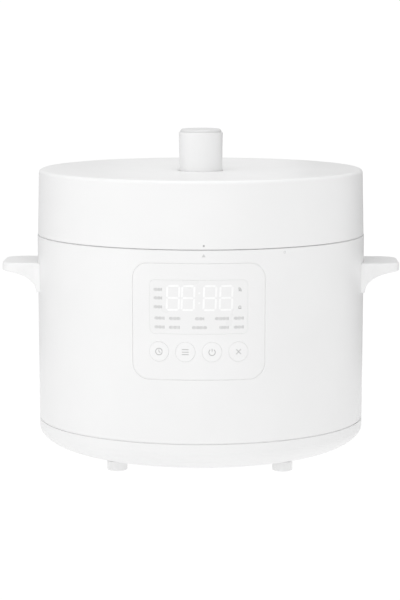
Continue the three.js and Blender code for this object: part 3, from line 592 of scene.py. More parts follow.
def lit_segments(name):
    """Display segments: white and softly lit."""
    s = Surface(name, Emission_Color=WHITE, Emission_Strength=0.03)
    return s.finish((300.0, grey(0.86), grey(0.9)), (800.0, 0.25, 0.33), (1500.0, 0.002, 0.4))


def print_ink(name, level):
    """Pad-printed ink: thin, slightly uneven, a little mottled."""
    colours = (900.0, grey(level * 0.94), grey(level * 1.05))
    return Surface(name).finish(colours, (1200.0, 0.45, 0.6), (2600.0, 0.004, 0.5))


materials = {
    "body_white": moulded_plastic("body_white", 0.83, 0.42),
    "lid_white": moulded_plastic("lid_white", 0.83, 0.42),
    "cap_white": moulded_plastic("cap_white", 0.69, 0.42),
    "handle_white": moulded_plastic("handle_white", 0.84, 0.44, grain_mm=0.006),
    "panel_white": moulded_plastic("panel_white", 0.83, 0.36, grain_mm=0.002),
    "button_white": moulded_plastic("button_white", 0.835, 0.38, grain_mm=0.003),
    "window_white": moulded_plastic("window_white", 0.82, 0.3, grain_mm=0.0012),
    "display_white": lit_segments("display_white"),
    "foot_rubber": rubber("foot_rubber", 0.84),
    "inner_plastic": moulded_plastic("inner_plastic", 0.66, 0.5, grain_mm=0.008, warm=0.01),
    "cup_clear": frosted_plastic("cup_clear"),
    "aluminium": turned_metal("aluminium", 0.78, 0.34),
    "stainless": turned_metal("stainless", 0.66, 0.26, lines=3200.0),
    "zinc_steel": sheet_metal("zinc_steel", 0.6, 0.42),
    "screw_steel": sheet_metal("screw_steel", 0.66, 0.32),
    "pot_coating": non_stick("pot_coating"),
    "silicone": silicone("silicone"),
    "board_green": circuit_board("board_green"),
    "black_plastic": moulded_plastic("black_plastic", 0.03, 0.5, grain_mm=0.01),
    "relay_blue": moulded_plastic("relay_blue", 0.12, 0.4),
    "brass": sheet_metal("brass", 0.62, 0.3, warm=0.28),
}
ink = print_ink("print_grey", 0.42)
faint_ink = print_ink("print_faint", 0.6)


def coat(piece, material):
    piece.data.materials.clear()
    piece.data.materials.append(material)


def stand_in(node, piece, round_wall=False):
    """The piece shows in place of a CAD node, on its body and in its material."""
    piece.name = node + "_fine"
    coat(piece, materials[SLOT_OF[node]])
    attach(shade(piece, round_wall), BODY_OF[node])
    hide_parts(node)
    return piece


def turned(node, corners, sides=RING_SIDES, centre=(0, 0), steps=6):
    """A CAD node that is a plain solid of revolution."""
    stand_in(node, lathe(node, corners, sides, centre, steps))


def fitted(piece, body, material):
    """A detail that no CAD node stands for, such as a printed mark."""
    coat(piece, material)
    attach(shade(piece), body)
    return piece


for cad_name, cad_piece in frame["nodes"].items():
    coat(cad_piece, materials[SLOT_OF[cad_name]])


# ---------------------------------------------------------------- casing

PANEL_HALF = RIM_RADIUS * math.asin(panel_high.x / RIM_RADIUS)  # measured along the wall
PANEL_CORNER = 13.6
GROOVE_WIDTH, GROOVE_DEPTH, GROOVE_EDGE = 0.6, 0.6, 0.25
SEAT_LEDGE = 1.6  # on which the panel rests, all round the opening behind it
TONGUE_INSET, TONGUE_HEIGHT = 1.1, 0.45
WINDOW_HALF = RIM_RADIUS * math.asin(window_high.x / RIM_RADIUS) + 0.15
FOOT_STEM = 3.4
BUTTON_RADIUS = 8.3
BUTTON_SPACING = along_at(8.85)

panel_outline = rectangle(PANEL_HALF, panel_low.z, panel_high.z, PANEL_CORNER)
window_outline = rectangle(WINDOW_HALF, window_low.z - 0.15, window_high.z + 0.15, 4.2)
BUTTON_ALONG = [(i - 1.5) * BUTTON_SPACING for i in range(4)]
BUTTON_Z = (span("button_timer")[0].z + span("button_timer")[1].z) / 2


def outer_shell():
    low, high = shell_low.z, shell_high.z
    foot_radius, rim_radius = wall_radius(low), wall_radius(high)
    tube = lathe("outer_shell_fine", [
        (foot_radius - WALL, low + LIP_HEIGHT), (foot_radius - LIP, low + LIP_HEIGHT),
        (foot_radius - LIP, low, 0.15), (foot_radius, low, 0.4),
        (rim_radius, high, 0.22), (rim_radius - TONGUE_INSET, high),
        (rim_radius - TONGUE_INSET, high + TONGUE_HEIGHT, 0.15),
        (rim_radius - WALL, high + TONGUE_HEIGHT, 0.15),
    ])
    edge = [(GROOVE_WIDTH + grow, lift) for grow, lift in edge_levels(GROOVE_EDGE, GROOVE_DEPTH, 1, 4)]
    seat = [(-SEAT_LEDGE, -30), (-SEAT_LEDGE, -GROOVE_DEPTH)] + edge
    cuts = [loft("panel_seat", panel_outline, seat, on_wall(FRONT))]
    cup_low, cup_high = span("condensate_cup")
    inlet_low, inlet_high = span("power_inlet")
    at_rear = (
        (rectangle(cup_high.x + 0.6, cup_low.z - 0.6, cup_high.z + 2.6, 2.5), edge_levels(0.5, 15, 1)),
        (rectangle(14, cup_low.z - 7, cup_low.z + 2, 5), edge_levels(0.6, 15, 1)),  # finger notch
        (rectangle(inlet_high.x + 0.5, inlet_low.z - 0.5, inlet_high.z + 0.5, 2.2), edge_levels(0.5, 30, 1)),
    )
    cuts += [loft("rear_cut", outline, levels, across_rear) for outline, levels in at_rear]
    stand_in("outer_shell", carve(tube, *cuts), round_wall=True)


def base_ring():
    """A dish whose flank curves up to the parting line, with a tongue that closes the joint behind it."""
    top, bottom = base_high.z, base_low.z
    opening, flat_radius, flank_height, wall = 84, 94.8, 20.7, 2.5
    width = FOOT_RADIUS - flat_radius
    centre = (flat_radius, bottom + flank_height)
    tongue, tongue_radius = top + LIP_HEIGHT, FOOT_RADIUS - LIP - 0.2
    dish = lathe("base_ring_fine", [
        (opening, bottom, 0.6),
        *ellipse_arc(centre, (width, flank_height), -math.pi / 2, 0, 28),
        (FOOT_RADIUS, top, 0.4), (tongue_radius, top), (tongue_radius, tongue, 0.2),
        (FOOT_RADIUS - wall, tongue, 0.2),
        *ellipse_arc(centre, (width - wall, flank_height - wall), 0, -math.pi / 2, 20),
        (opening, bottom + wall, 0.6),
    ])
    through = (0, 20)
    holes = bars_at(FEET, FOOT_STEM + 0.5, through) + bars_at(BASE_SCREWS, SCREW_HOLE, through)
    stand_in("base_ring", carve(dish, *holes))


def centre_of(node):
    """A small piece's place on the floor plan."""
    low, high = span(node)
    return ((low.x + high.x) / 2, (low.y + high.y) / 2)


def foot(node):
    low, high = span(node)
    radius, top = (high.x - low.x) / 2, base_low.z - 0.3
    turned(node, [
        (0, 0), (5.6, 0, 0.2), (5.9, 0.6, 0.2), (6.6, 0.6, 0.2), (6.9, 0, 0.2), (radius, 0, 1.3),
        (radius, top, 0.3), (FOOT_STEM, top), (FOOT_STEM, high.z, 0.4), (0, high.z),
    ], SMALL_SIDES, centre_of(node))


def bottom_cover():
    low, high = span("bottom_cover")
    through, vent_count, vent_ring = (low.z - 5, high.z + 5), 10, 48
    plate = lathe("plate", [(0, low.z), (high.y, low.z, 0.3), (high.y, high.z, 0.3), (0, high.z)])
    vent = rectangle(14, -2.5, 2.5, 2.5)
    turns = [2 * math.pi * k / vent_count for k in range(vent_count)]
    vents = [prism("vent", vent, *through, flat_at(turn, vent_ring)) for turn in turns]
    stand_in("bottom_cover", carve(plate, *vents, *bars_at(BASE_SCREWS, SCREW_HOLE, through)))


def screw(node):
    """A pan-head screw, head down, with a cross recess."""
    low, high = span(node)
    centre = centre_of(node)
    head, shank, rise = (high.x - low.x) / 2, (high.x - low.x) / 4, 1.6
    body = lathe(node, [
        (0, low.z), (head, low.z, 0.8), (head, low.z + rise, 0.15),
        (shank, low.z + rise), (shank, high.z, 0.4), (0, high.z),
    ], 48, centre)
    blade = rectangle(head * 0.6, -0.3, 0.3, 0.1)
    blades = [prism("blade", blade, low.z - 1, low.z + 0.9, flat_at(turn, 0, centre)) for turn in CROSS]
    stand_in(node, carve(body, *blades))


# ---------------------------------------------------------------- handles

HANDLE_EDGE = 1.7
HANDLE_GAP = 0.08  # between the handle and the wall
HANDLE_TIP_THICKNESS = 8.0
HANDLE_CORNER = 15.0
HANDLE_ROOT_Z = 150.0
HANDLE_HALF = 30.0
FLARE_HALF = 42.0
FLARE_X = (138.0, 149.0)


def handle(node, side):
    """A flat-topped grip that flares at the body and whose underside sweeps into its root."""
    low, high = span(node)
    tip_x, top = max(high.x, -low.x), high.z
    tip_z = top - HANDLE_TIP_THICKNESS
    sweep = (tip_x - 1 - RIM_RADIUS + 0.5, tip_z - HANDLE_ROOT_Z)

    def underside(x):
        reach = min(max((tip_x - 1 - x) / sweep[0], 0.0), 1.0)
        return HANDLE_ROOT_Z + sweep[1] * math.sqrt(1 - reach * reach)

    def stations(grow):
        """Half of the plan outline, from the root to the middle of the tip."""
        corner = HANDLE_CORNER + grow
        centre = (tip_x - HANDLE_CORNER, HANDLE_HALF - HANDLE_CORNER)
        flare_radii = (FLARE_X[1] - FLARE_X[0] - grow, FLARE_HALF - HANDLE_HALF - grow)
        flare = ellipse_arc((FLARE_X[1], FLARE_HALF), flare_radii, math.pi, math.pi * 1.5, 12)
        straight = [(FLARE_X[1] + (centre[0] - FLARE_X[1]) * k / 4, HANDLE_HALF + grow) for k in range(1, 4)]
        bend = ellipse_arc(centre, (corner, corner), math.pi / 2, 0, 16)
        end = [(tip_x + grow, centre[1] * (1 - k / 4)) for k in range(1, 5)]
        return flare + straight + bend + end

    turns = [k * math.pi / 12 for k in range(7)]
    edge = [(-HANDLE_EDGE * (1 - math.sin(a)), -HANDLE_EDGE * (1 - math.cos(a))) for a in turns]
    sections = []
    for is_top, levels in ((True, edge), (False, edge[::-1])):
        for grow, drop in levels:
            half = [(x, y, top + drop if is_top else underside(x) - drop) for x, y in stations(grow)]
            sections.append(half + [(x, -y, z) for x, y, z in reversed(half[:-1])])
    points, rings, faces = ringed(sections)
    for ring in (rings[0], rings[-1][::-1]):
        last = len(ring) - 1
        middle = last // 2
        faces += [(ring[k], ring[last - k], ring[last - k - 1], ring[k + 1]) for k in range(middle - 1)]
        faces.append((ring[middle - 1], ring[middle + 1], ring[middle]))
    points = [(x * side, y * side, z) for x, y, z in points]
    grip = new_piece(node, points, outwards(points, faces))
    stand_in(node, carve(grip, drum(130, 190, HANDLE_GAP)))


# ---------------------------------------------------------------- control panel

def wall_band(name, inset, depth):
    """A band of the wall's own curve that spans the panel, from inset to depth below the surface."""
    low, high = panel_low.z - 4, panel_high.z + 4
    return lathe(name, [
        (wall_radius(low) - depth, low), (wall_radius(low) - inset, low),
        (wall_radius(high) - inset, high), (wall_radius(high) - depth, high),
    ])


def panel_face(z):
    return wall_radius(z) - PANEL_INSET


on_panel = on_wall(FRONT, panel_face)


PANEL_THICKNESS = 2.6
DEEP = 12  # of cutters that go right through the panel


def control_panel():
    plate = wall_band("plate", PANEL_INSET, PANEL_INSET + PANEL_THICKNESS)
    carve(plate, loft("outline", panel_outline, edge_levels(0.3, DEEP, -1), on_panel), operation="INTERSECT")
    holes = [loft("window", window_outline, edge_levels(0.1, DEEP, 1), on_panel)]
    for along in BUTTON_ALONG:
        hole = circle((along, BUTTON_Z), BUTTON_RADIUS + 0.06)
        holes.append(loft("hole", hole, edge_levels(0.12, DEEP, 1), on_panel))
    stand_in("control_panel", carve(plate, *holes), round_wall=True)


def display_lens():
    lens = wall_band("lens", PANEL_INSET + 0.02, PANEL_INSET + PANEL_THICKNESS)
    outline = loft("outline", lambda grow: window_outline(grow - 0.06), edge_levels(0.1, DEEP, -1), on_panel)
    stand_in("display_lens", carve(lens, outline, operation="INTERSECT"), round_wall=True)


BUTTON_RISE = 0.2
BUTTON_EDGE = 0.35
KEY_PLAY = 1.1  # a key's travel and the slack between it and its switch


def button(node, along):
    """A push button: a slightly crowned cap with a rounded edge, on a plunger with a flange."""
    plunger_radius, turn = 2.4, abs(along) / RIM_RADIUS
    switch_y = span("control_board")[0].y - KEY_PLAY
    plunger_end = (plunger_radius * math.sin(turn) - switch_y) / math.cos(turn) - panel_face(BUTTON_Z)
    crown = [(-2.5, BUTTON_RISE + 0.05), (-5.0, BUTTON_RISE + 0.08), (-7.2, BUTTON_RISE + 0.09)]
    plunger = [(plunger_radius - BUTTON_RADIUS, plunger_end), (plunger_radius - BUTTON_RADIUS, -5.1)]
    flange = [(1.0, -5.1), (1.0, -3.9), (0.0, -3.9)]
    levels = plunger + flange + rounded_edge(BUTTON_EDGE, BUTTON_RISE, 6) + crown
    stand_in(node, loft(node, circle((along, BUTTON_Z), BUTTON_RADIUS), levels, on_panel))


# ---------------------------------------------------------------- printed and lit marks

def stroke(name, path, width, place, lift, closed=False):
    """A thin printed line of even width through points (along, height) on a wall."""
    count = len(path)
    points = []
    for i, point in enumerate(path):
        before = path[i - 1] if closed or i else point
        after = path[(i + 1) % count] if closed or i < count - 1 else point
        heading = (Vector(after) - Vector(before)).normalized()
        aside = Vector((-heading.y, heading.x)) * width / 2
        left, right = Vector(point) + aside, Vector(point) - aside
        points += [place(left.x, left.y, lift), place(right.x, right.y, lift)]
        points += [place(right.x, right.y, lift - INK_DEPTH), place(left.x, left.y, lift - INK_DEPTH)]
    faces = []
    spans = range(count) if closed else range(count - 1)
    for i in spans:
        a, b = 4 * i, 4 * ((i + 1) % count)
        faces += [(a + k, a + (k + 1) % 4, b + (k + 1) % 4, b + k) for k in range(4)]
    if not closed:
        last = 4 * (count - 1)
        faces += [(3, 2, 1, 0), (last, last + 1, last + 2, last + 3)]
    return new_piece(name, points, outwards(points, faces))


def blot(name, outline, place, lift):
    """A small filled shape on a wall, from a convex outline of (along, height) points."""
    return prism(name, lambda grow: outline, lift - INK_DEPTH, lift, place)


INK_DEPTH = 0.05
INK_LIFT = 0.02
DIGIT_LIFT = 0.03

DIGIT_TOP, DIGIT_BOTTOM = 171.0, 149.3
DIGIT_CENTRES = [along_at(a) for a in (-8.65, -3.65, 3.55, 8.95)]
COLON_ALONG = along_at(0.2)
DIGIT_HALF = 5.9
BAR = 1.65
SLANT = 0.035


def segment(start, end):
    """One bar of a digit: a pointed six-sided bar between two points."""
    start, end = Vector(start), Vector(end)
    heading = (end - start).normalized()
    aside = Vector((-heading.y, heading.x)) * BAR / 2
    tip = heading * BAR / 2
    gap = heading * 0.35
    a, b = start + gap, end - gap
    return [a, a + tip + aside, b - tip + aside, b, b - tip - aside, a + tip - aside]


def leaning(point):
    return Vector((point.x + (point.y - DIGIT_BOTTOM) * SLANT, point.y))


def digits():
    """Four seven-segment eights with a colon, all lit."""
    top, bottom = DIGIT_TOP - BAR / 2, DIGIT_BOTTOM + BAR / 2
    middle = (top + bottom) / 2
    half = DIGIT_HALF - BAR / 2
    bars = []
    for centre in DIGIT_CENTRES:
        left, right = centre - half, centre + half
        ends = [((left, z), (right, z)) for z in (top, middle, bottom)]
        ends += [((x, a), (x, b)) for x in (left, right) for a, b in ((bottom, middle), (middle, top))]
        bars += [[leaning(p) for p in segment(*pair)] for pair in ends]
    for z in (middle + 4.2, middle - 4.2):
        bars.append(circle((COLON_ALONG, z), 0.85, 24)(0))
    pieces = [blot("bar", outline, on_panel, DIGIT_LIFT) for outline in bars]
    fitted(merged("display_digits", pieces), "base", materials["display_white"])


def arc_path(centre, radii, start, end, steps=12):
    return ellipse_arc(centre, radii, math.radians(start), math.radians(end), steps)


# Generic labels, as (first, last) angles in degrees round the body, for each height
LABEL_ROWS = (
    (142.9, ((-14.6, -11.5), (-9.7, -6.2), (-1.0, 1.7), (5.5, 9.8), (11.8, 14.9))),
    (135.4, ((-14.6, -11.5), (-9.7, -6.4), (-2.0, 2.6), (7.0, 9.8), (11.8, 14.9))),
    (166.9, ((-14.9, -12.3),)),
    (159.8, ((-14.9, -12.3),)),
    (152.3, ((-14.9, -12.3),)),
)
LABEL_HALF_HEIGHT = 1.3

# Pictograms, each a list of lines in a box from -1 to 1 both ways
LEAF = [arc_path((-0.7, -0.9), (1.5, 1.8), 0, 90), arc_path((0.8, 0.9), (1.5, 1.8), 180, 270),
        [(-0.7, -0.9), (0.4, 0.4)]]
EGG = [arc_path((0, -0.05), (0.7, 0.85), 0, 345), [(-0.9, -1.0), (0.9, -1.0)]]


def pictogram(lines, centre, half_width, half_height, width, lift, place):
    return [
        stroke("line", [(centre[0] + a * half_width, centre[1] + z * half_height) for a, z in line],
               width, place, lift)
        for line in lines
    ]


def window_marks():
    """Rows of plain ticks where labels would stand, and two signs on the right."""
    pieces = []
    for z, labels in LABEL_ROWS:
        for first, last in labels:
            start, end = along_at(first), along_at(last)
            count = round(end - start)  # about 1 mm apart
            for k in range(count + 1):
                along = start + (end - start) * k / count
                reach = LABEL_HALF_HEIGHT * (1.0 if k % 3 else 0.7)
                line = [(along, z - reach), (along, z + reach)]
                pieces.append(stroke("tick", line, 0.42, on_panel, INK_LIFT))
    sign_along = along_at(13.7)
    pieces += pictogram(LEAF, (sign_along, 167), 1.5, 1.6, 0.5, INK_LIFT, on_panel)
    pieces += pictogram(EGG, (sign_along, 152.2), 1.5, 1.2, 0.5, INK_LIFT, on_panel)
    fitted(merged("window_marks", pieces), "base", ink)


CLOCK = [arc_path((0, 0), (1, 1), 0, 352, 28), [(0, 0.65), (0, 0), (0.45, -0.3)]]
MENU = [[(-1, z), (1, z)] for z in (0.75, 0, -0.75)]
START = [arc_path((0, -0.05), (0.95, 0.95), 125, 415, 24), [(0, 0.2), (0, 1.05)]]
CANCEL = [[(-0.75, -0.75), (0.75, 0.75)], [(-0.75, 0.75), (-0.08, 0.08)], [(0.08, -0.08), (0.75, -0.75)]]


def button_marks():
    for node, along, icon in zip(BUTTON_NAMES, BUTTON_ALONG, (CLOCK, MENU, START, CANCEL)):
        pieces = pictogram(icon, (along, BUTTON_Z), 2.8, 2.8, 0.55, BUTTON_RISE + 0.13, on_panel)
        fitted(merged(node + "_mark", pieces), BODY_OF[node], ink)


def lock_marks():
    """A triangle on the body, its dot on the lid, and the place that the dot turns to when unlocked."""
    on_body = on_wall(FRONT)
    here, there, base_z, tip_z = along_at(1.65), along_at(29.65), 194.3, 196.9
    triangle = [Vector((here - 1.7, base_z)), Vector((here + 1.7, base_z)), Vector((here, tip_z))]
    fitted(blot("lock_mark", triangle, on_body, INK_LIFT), "base", faint_ink)
    ring = [arc_path((0, 0), (1, 1), 0, 345, 16)]
    opened = pictogram(ring, (there, 196.6), 0.9, 0.9, 0.4, INK_LIFT, on_body)
    fitted(merged("open_mark", opened), "base", faint_ink)
    dot = circle((here, 203.6), 0.9, 24)(0)
    fitted(blot("lid_mark", dot, on_wall(FRONT, lid_wall_radius), INK_LIFT), "lid", ink)


# ---------------------------------------------------------------- springs

SPRING_WIRE = {"release_spring": 0.6, "sensor_spring": 0.7}  # radius of the wire
SPRING_TURNS = 4


def coil_spring(node):
    """A round-wire spring about the Z axis, which shortens towards its fixed end with its joint."""
    low, high = span(node)
    wire = SPRING_WIRE[node]
    radius, start, rise = high.x - wire, low.z + wire, high.z - low.z - 2 * wire
    steps, sides = 48 * SPRING_TURNS, 12
    sections = []
    for k in range(steps + 1):
        turn = 2 * math.pi * SPRING_TURNS * k / steps
        section = []
        for a in (2 * math.pi * j / sides for j in range(sides)):
            reach = radius + wire * math.cos(a)
            height = start + rise * k / steps + wire * math.sin(a)
            section.append((reach * math.cos(turn), reach * math.sin(turn), height))
        sections.append(section)
    points, rings, flanks = ringed(sections)
    faces = [tuple(reversed(rings[0])), tuple(rings[-1])] + flanks
    spring = stand_in(node, new_piece(node, points, outwards(points, faces)))
    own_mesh(spring)


# ---------------------------------------------------------------- rear

def rear_prism(name, outline, y_range):
    """An outline in X and Z run straight along Y."""
    return prism(name, outline, *y_range, run_back)


def room_behind(y):
    """All the space round the cup that lies further back than y."""
    return rear_prism("room", rectangle(60, 90, 190, 1), (y, 160))


def flat_at(turn, distance, centre=(0, 0)):
    """Lays an outline flat, at a distance out from a centre in the direction of turn."""
    def place(a, b, z):
        along = distance + a
        x = along * math.cos(turn) - b * math.sin(turn)
        y = along * math.sin(turn) + b * math.cos(turn)
        return (centre[0] + x, centre[1] + y, z)
    return place


def condensate_cup():
    low, high = span("condensate_cup")
    wall, half, sunk = 1.7, high.x, 0.3
    face = rectangle(half, low.z, high.z, 2.2)
    cup = loft("cup", face, [(grow, lift - sunk) for grow, lift in edge_levels(0.6, 25, -1)], across_rear)
    carve(cup, drum(100, 180, -sunk), room_behind(low.y), operation="INTERSECT")
    hollow = rectangle(half - wall, low.z + wall, high.z + 8, 2.0)
    inside = prism("hollow", hollow, -25, -sunk - wall, across_rear)
    carve(inside, room_behind(low.y + wall), operation="INTERSECT")
    stand_in("condensate_cup", carve(cup, inside), round_wall=True)


def cup_holder():
    low, high = span("cup_holder")
    wall = 1.8
    tray = rear_prism("tray", rectangle(high.x, low.z, high.z, 2.5), (low.y, 150))
    hollow = rectangle(high.x - wall, low.z + wall, high.z + 12, 1.5)
    carve(tray, rear_prism("hollow", hollow, (low.y + wall, 151)))
    stand_in("cup_holder", carve(tray, drum(100, 180, -WALL - 0.5), operation="INTERSECT"))


def power_inlet():
    """Mains inlet: a flanged block with a three-pin socket whose top corners are cut off."""
    low, high = span("power_inlet")
    body = rectangle(high.x, low.z, high.z, 1.8)
    block = loft("block", body, [(0, low.y)] + rounded_edge(0.6, high.y, 5), run_back)
    middle = (low.z + high.z) / 2
    half, rise, cut = 12.0, 8.25, 4.2

    def socket(grow):
        a, b, c = half + grow, rise + grow, cut + grow * 0.4
        corners = [(-a, -b, 1.2), (a, -b, 1.2), (a, b - c, 0.8)]
        corners += [(a - c, b, 0.8), (-a + c, b, 0.8), (-a, b - c, 0.8)]
        return [Vector((p.x, p.y + middle)) for p in rounded(corners)]

    mouth = [(0, high.y - 15.3), (0, high.y - 0.5), (0.5, high.y), (0.5, high.y + 2)]
    carve(block, loft("socket", socket, mouth, run_back))
    holes = []
    for pin_low, pin_high in map(span, INLET_PINS):
        slot = rectangle(1.25, pin_low.z - 0.25, pin_high.z + 0.25, 0.2, (pin_low.x + pin_high.x) / 2)
        holes.append(rear_prism("hole", slot, (110, 130)))
    stand_in("power_inlet", carve(block, *holes))


def inlet_pin(node):
    low, high = span(node)
    x = (low.x + high.x) / 2
    tip = [(0, low.y), (0, high.y - 1.2), (-0.35, high.y - 0.4), (-0.7, high.y)]
    outline = rectangle(high.x - x, low.z, high.z, 0.5, x)
    stand_in(node, loft(node, outline, tip, run_back))


# ---------------------------------------------------------------- chamber and pot

LUG_ANGLES = [math.radians(30 + 60 * k) for k in range(6)]
LUG_HALF = math.radians(11)


def lugs(inner, outer, z_range):
    """The lugs of the bayonet lock, each a sector of a flat ring."""
    def outline_at(angle):
        sides = ((outer, 1), (inner, -1))
        turns = [(r, angle + way * LUG_HALF * (k / 8 - 1)) for r, way in sides for k in range(17)]
        return [Vector((r * math.cos(a), r * math.sin(a))) for r, a in turns]

    shapes = [outline_at(angle) for angle in LUG_ANGLES]
    return [prism("lug", lambda grow, shape=shape: shape, *z_range, run_up) for shape in shapes]


def outer_pot():
    low, high = span("outer_pot")
    outer, inner, opening, floor_z = 119.5, 118.0, 70.0, low.z
    pot = lathe("pot", [
        (opening, floor_z, 0.3), (outer, floor_z, 4.5), (outer, high.z, 0.5), (inner, high.z, 0.5),
        (inner, floor_z + 1.5, 3.2), (opening, floor_z + 1.5, 0.3),
    ])
    lug_z = (189.5, 193.0)
    carve(pot, *lugs(outer - 1, high.y, lug_z), operation="UNION")
    stand_in("outer_pot", pot, round_wall=True)


def rim_ring():
    low, high = span("rim_ring")
    inner, wall, inner_top = 120.3, 1.5, 180
    ring = lathe("gutter", [
        (inner, low.z, 0.5), (high.y, low.z, 1.2), (high.y, high.z, 0.5), (high.y - wall, high.z, 0.5),
        (high.y - wall, low.z + wall, 1.6), (inner + wall, low.z + wall, 1.6),
        (inner + wall, inner_top, 0.6), (inner, inner_top, 0.6),
    ])
    stand_in("rim_ring", carve(ring, round_bar("drain", 3, (160, 190), (0, 132))))


def heating_plate():
    low, high = span("heating_plate")
    edge, hole, top = high.y, 17.0, high.z
    turned("heating_plate", [
        (hole, top - 7, 0.4), (edge - 10, top - 7), (edge - 10, low.z, 0.4), (edge - 4, low.z, 0.6),
        (edge, top - 6, 1.0), (edge, top, 2.0), (hole, top, 0.8),
    ])


def sensor_cap():
    low, high = span("sensor_cap")
    pin, bore, radius, skirt_z, ceiling_z = 2.8, 11.8, 13.6, 49.5, 53.2
    turned("sensor_cap", [
        (0, low.z), (pin, low.z, 0.5), (pin, ceiling_z), (bore, ceiling_z, 0.4), (bore, skirt_z, 0.4),
        (radius, skirt_z, 0.4), (radius, high.z, 1.4), (0, high.z),
    ], SMALL_SIDES)


def inner_pot():
    low, high = span("inner_pot")
    outer, wall, flange, corner = 112.0, 2.0, high.y, 18.0
    flange_z = high.z - 2.6
    turned("inner_pot", [
        (0, low.z), (outer, low.z, corner), (outer, flange_z, 1.0), (flange, flange_z, 1.2),
        (flange, high.z, 1.2), (outer - wall, high.z, 1.6), (outer - wall, low.z + wall, corner - wall),
        (0, low.z + wall),
    ], steps=12)


# ---------------------------------------------------------------- lid

VENT = (0, 62)
FLOAT = (0, -62)


def lid_cover():
    wall = 2.5
    bottom, top = lid_low.z, lid_high.z
    centre_z = top - 1.9
    floor_z = RECESS_FLOOR - wall
    shell = lathe("cover", [
        (LID_RADIUS - wall, bottom, 0.3), (LID_RADIUS, bottom, 0.35), (LID_RADIUS - LID_DRAFT, top, 3.2),
        (RECESS_RADIUS, centre_z, 0.9), (RECESS_RADIUS, RECESS_FLOOR, 0.4), (8, RECESS_FLOOR, 0.4),
        (8, floor_z, 0.4), (RECESS_RADIUS + wall, floor_z, 1.0), (RECESS_RADIUS + wall, centre_z - wall, 1.5),
        (LID_RADIUS - LID_DRAFT - wall, top - wall, 2.0),
    ])
    post_radius, post_z, bore_z = 3.6, (204.6, 256), (200, 216)
    carve(shell, *bars_at(LID_SCREWS, post_radius, post_z), operation="UNION")
    stand_in("lid_cover", carve(shell, *bars_at(LID_SCREWS, LID_SCREW_HOLE, bore_z)))


def lid_knob():
    low, high = knob_low.z, knob_high.z
    foot_radius, top, bore, shoulder, stem, wall = 18.9, knob_high.y, 18.5, 15.4, 4, 2.7
    shoulder_z, floor_z, under_z = 279, 276, 273
    knob = lathe("knob", [
        (foot_radius - wall, low, 0.3), (foot_radius, low, 0.4), (top, high, 0.5), (bore, high, 0.3),
        (bore, shoulder_z, 0.3), (shoulder, shoulder_z, 0.3), (shoulder, floor_z, 0.5),
        (stem, floor_z, 0.3), (stem, under_z, 0.3), (foot_radius - wall, under_z, 1.0),
    ], RING_SIDES // 2)
    slot = rectangle(4, low - 3, low + 2.7, 1.0)
    stand_in("lid_knob", carve(knob, *[prism("slot", slot, -30, 30, facing(turn)) for turn in CROSS]))


def release_button():
    low, high = cap_low.z, cap_high.z
    radius, wall, hollow = cap_high.y, 2.0, 6
    turned("release_button", [
        (0, low + hollow), (radius - wall, low + hollow, 0.8), (radius - wall, low, 0.3), (radius, low, 0.3),
        (radius, high - 0.3, 2.4), (radius * 0.5, high - 0.08), (0, high),
    ], RING_SIDES // 2)


def release_stem():
    low, high = span("release_stem")
    head, rod, head_top = 8, 2.5, low.z + 4.7
    turned("release_stem", [
        (0, low.z), (head, low.z, 1.2), (head, head_top, 0.4), (rod, head_top), (rod, high.z, 0.5),
        (0, high.z),
    ], SMALL_SIDES)


def pressure_lid():
    low, high = span("pressure_lid")
    outer, wall, seat, ceiling = high.y, 1.6, 213.0, 216.0
    sheet = high.z - ceiling
    lid = lathe("lid", [
        (0, ceiling), (101, ceiling, 2.0), (104, seat, 2.0), (outer - wall, seat, 1.5), (outer - wall, low.z),
        (outer, low.z, 0.4), (outer, seat + sheet, 2.4), (105, seat + sheet, 2.0), (102, high.z, 2.0),
        (0, high.z),
    ])
    carve(lid, *lugs(121.6, outer - wall + 1, (low.z, low.z + 3.5)), operation="UNION")
    bores = ((4, (0, 0)), (4.4, VENT), (3.6, FLOAT))
    holes = [round_bar("hole", radius, (200, 230), place) for radius, place in bores]
    stand_in("pressure_lid", carve(lid, *holes), round_wall=True)


def lid_liner():
    low, high = span("lid_liner")
    inner, outer, wall, sheet = 129.6, high.y, 1.8, 2.0
    ring = lathe("liner", [
        (inner, low.z, 0.6), (outer, low.z, 0.6), (outer, low.z + sheet, 0.4),
        (inner + wall, low.z + sheet, 0.8), (inner + wall, high.z, 0.5), (inner, high.z, 0.5),
    ])
    stand_in("lid_liner", carve(ring, *bars_at(LID_SCREWS, LID_SCREW_HOLE, (200, 206))))


def sealing_ring():
    low, high = span("sealing_ring")
    inner, outer, bottom, top = 108.6, high.y, low.z, high.z
    groove_z, bevel_z = bottom + 4.6, bottom + 1
    turned("sealing_ring", [
        (inner, bevel_z, 0.5), (inner + 1.4, bottom, 0.4), (inner + 3.2, bottom, 0.3),
        (inner + 4, groove_z, 0.8), (inner + 6, groove_z, 0.8), (inner + 6.8, bottom, 0.3),
        (outer - 1, bottom, 0.4), (outer, bevel_z, 0.4), (outer, top, 0.6), (inner, top, 0.6),
    ])


def seal_carrier():
    top = span("seal_carrier")[1]
    inner, bend, outer, z, sheet = 14, 103, top.y, 207.0, 1.6
    plate = lathe("plate", [
        (inner, z, 0.3), (bend, z, 1.5), (outer, z - 2.6, 0.3), (outer, z - 1.0, 0.3), (bend, z + sheet, 1.5),
        (inner, z + sheet, 0.3),
    ])
    post_ring = 80
    posts = [
        round_bar("post", 4, (z + 0.5, top.z), (post_ring * math.cos(a), post_ring * math.sin(a)))
        for a in (k * 2 * math.pi / 3 for k in range(3))
    ]
    carve(plate, *posts, operation="UNION")
    bores = ((13, VENT), (9, FLOAT))
    holes = [round_bar("hole", radius, (z - 5, z + 5), place, 64) for radius, place in bores]
    stand_in("seal_carrier", carve(plate, *holes))


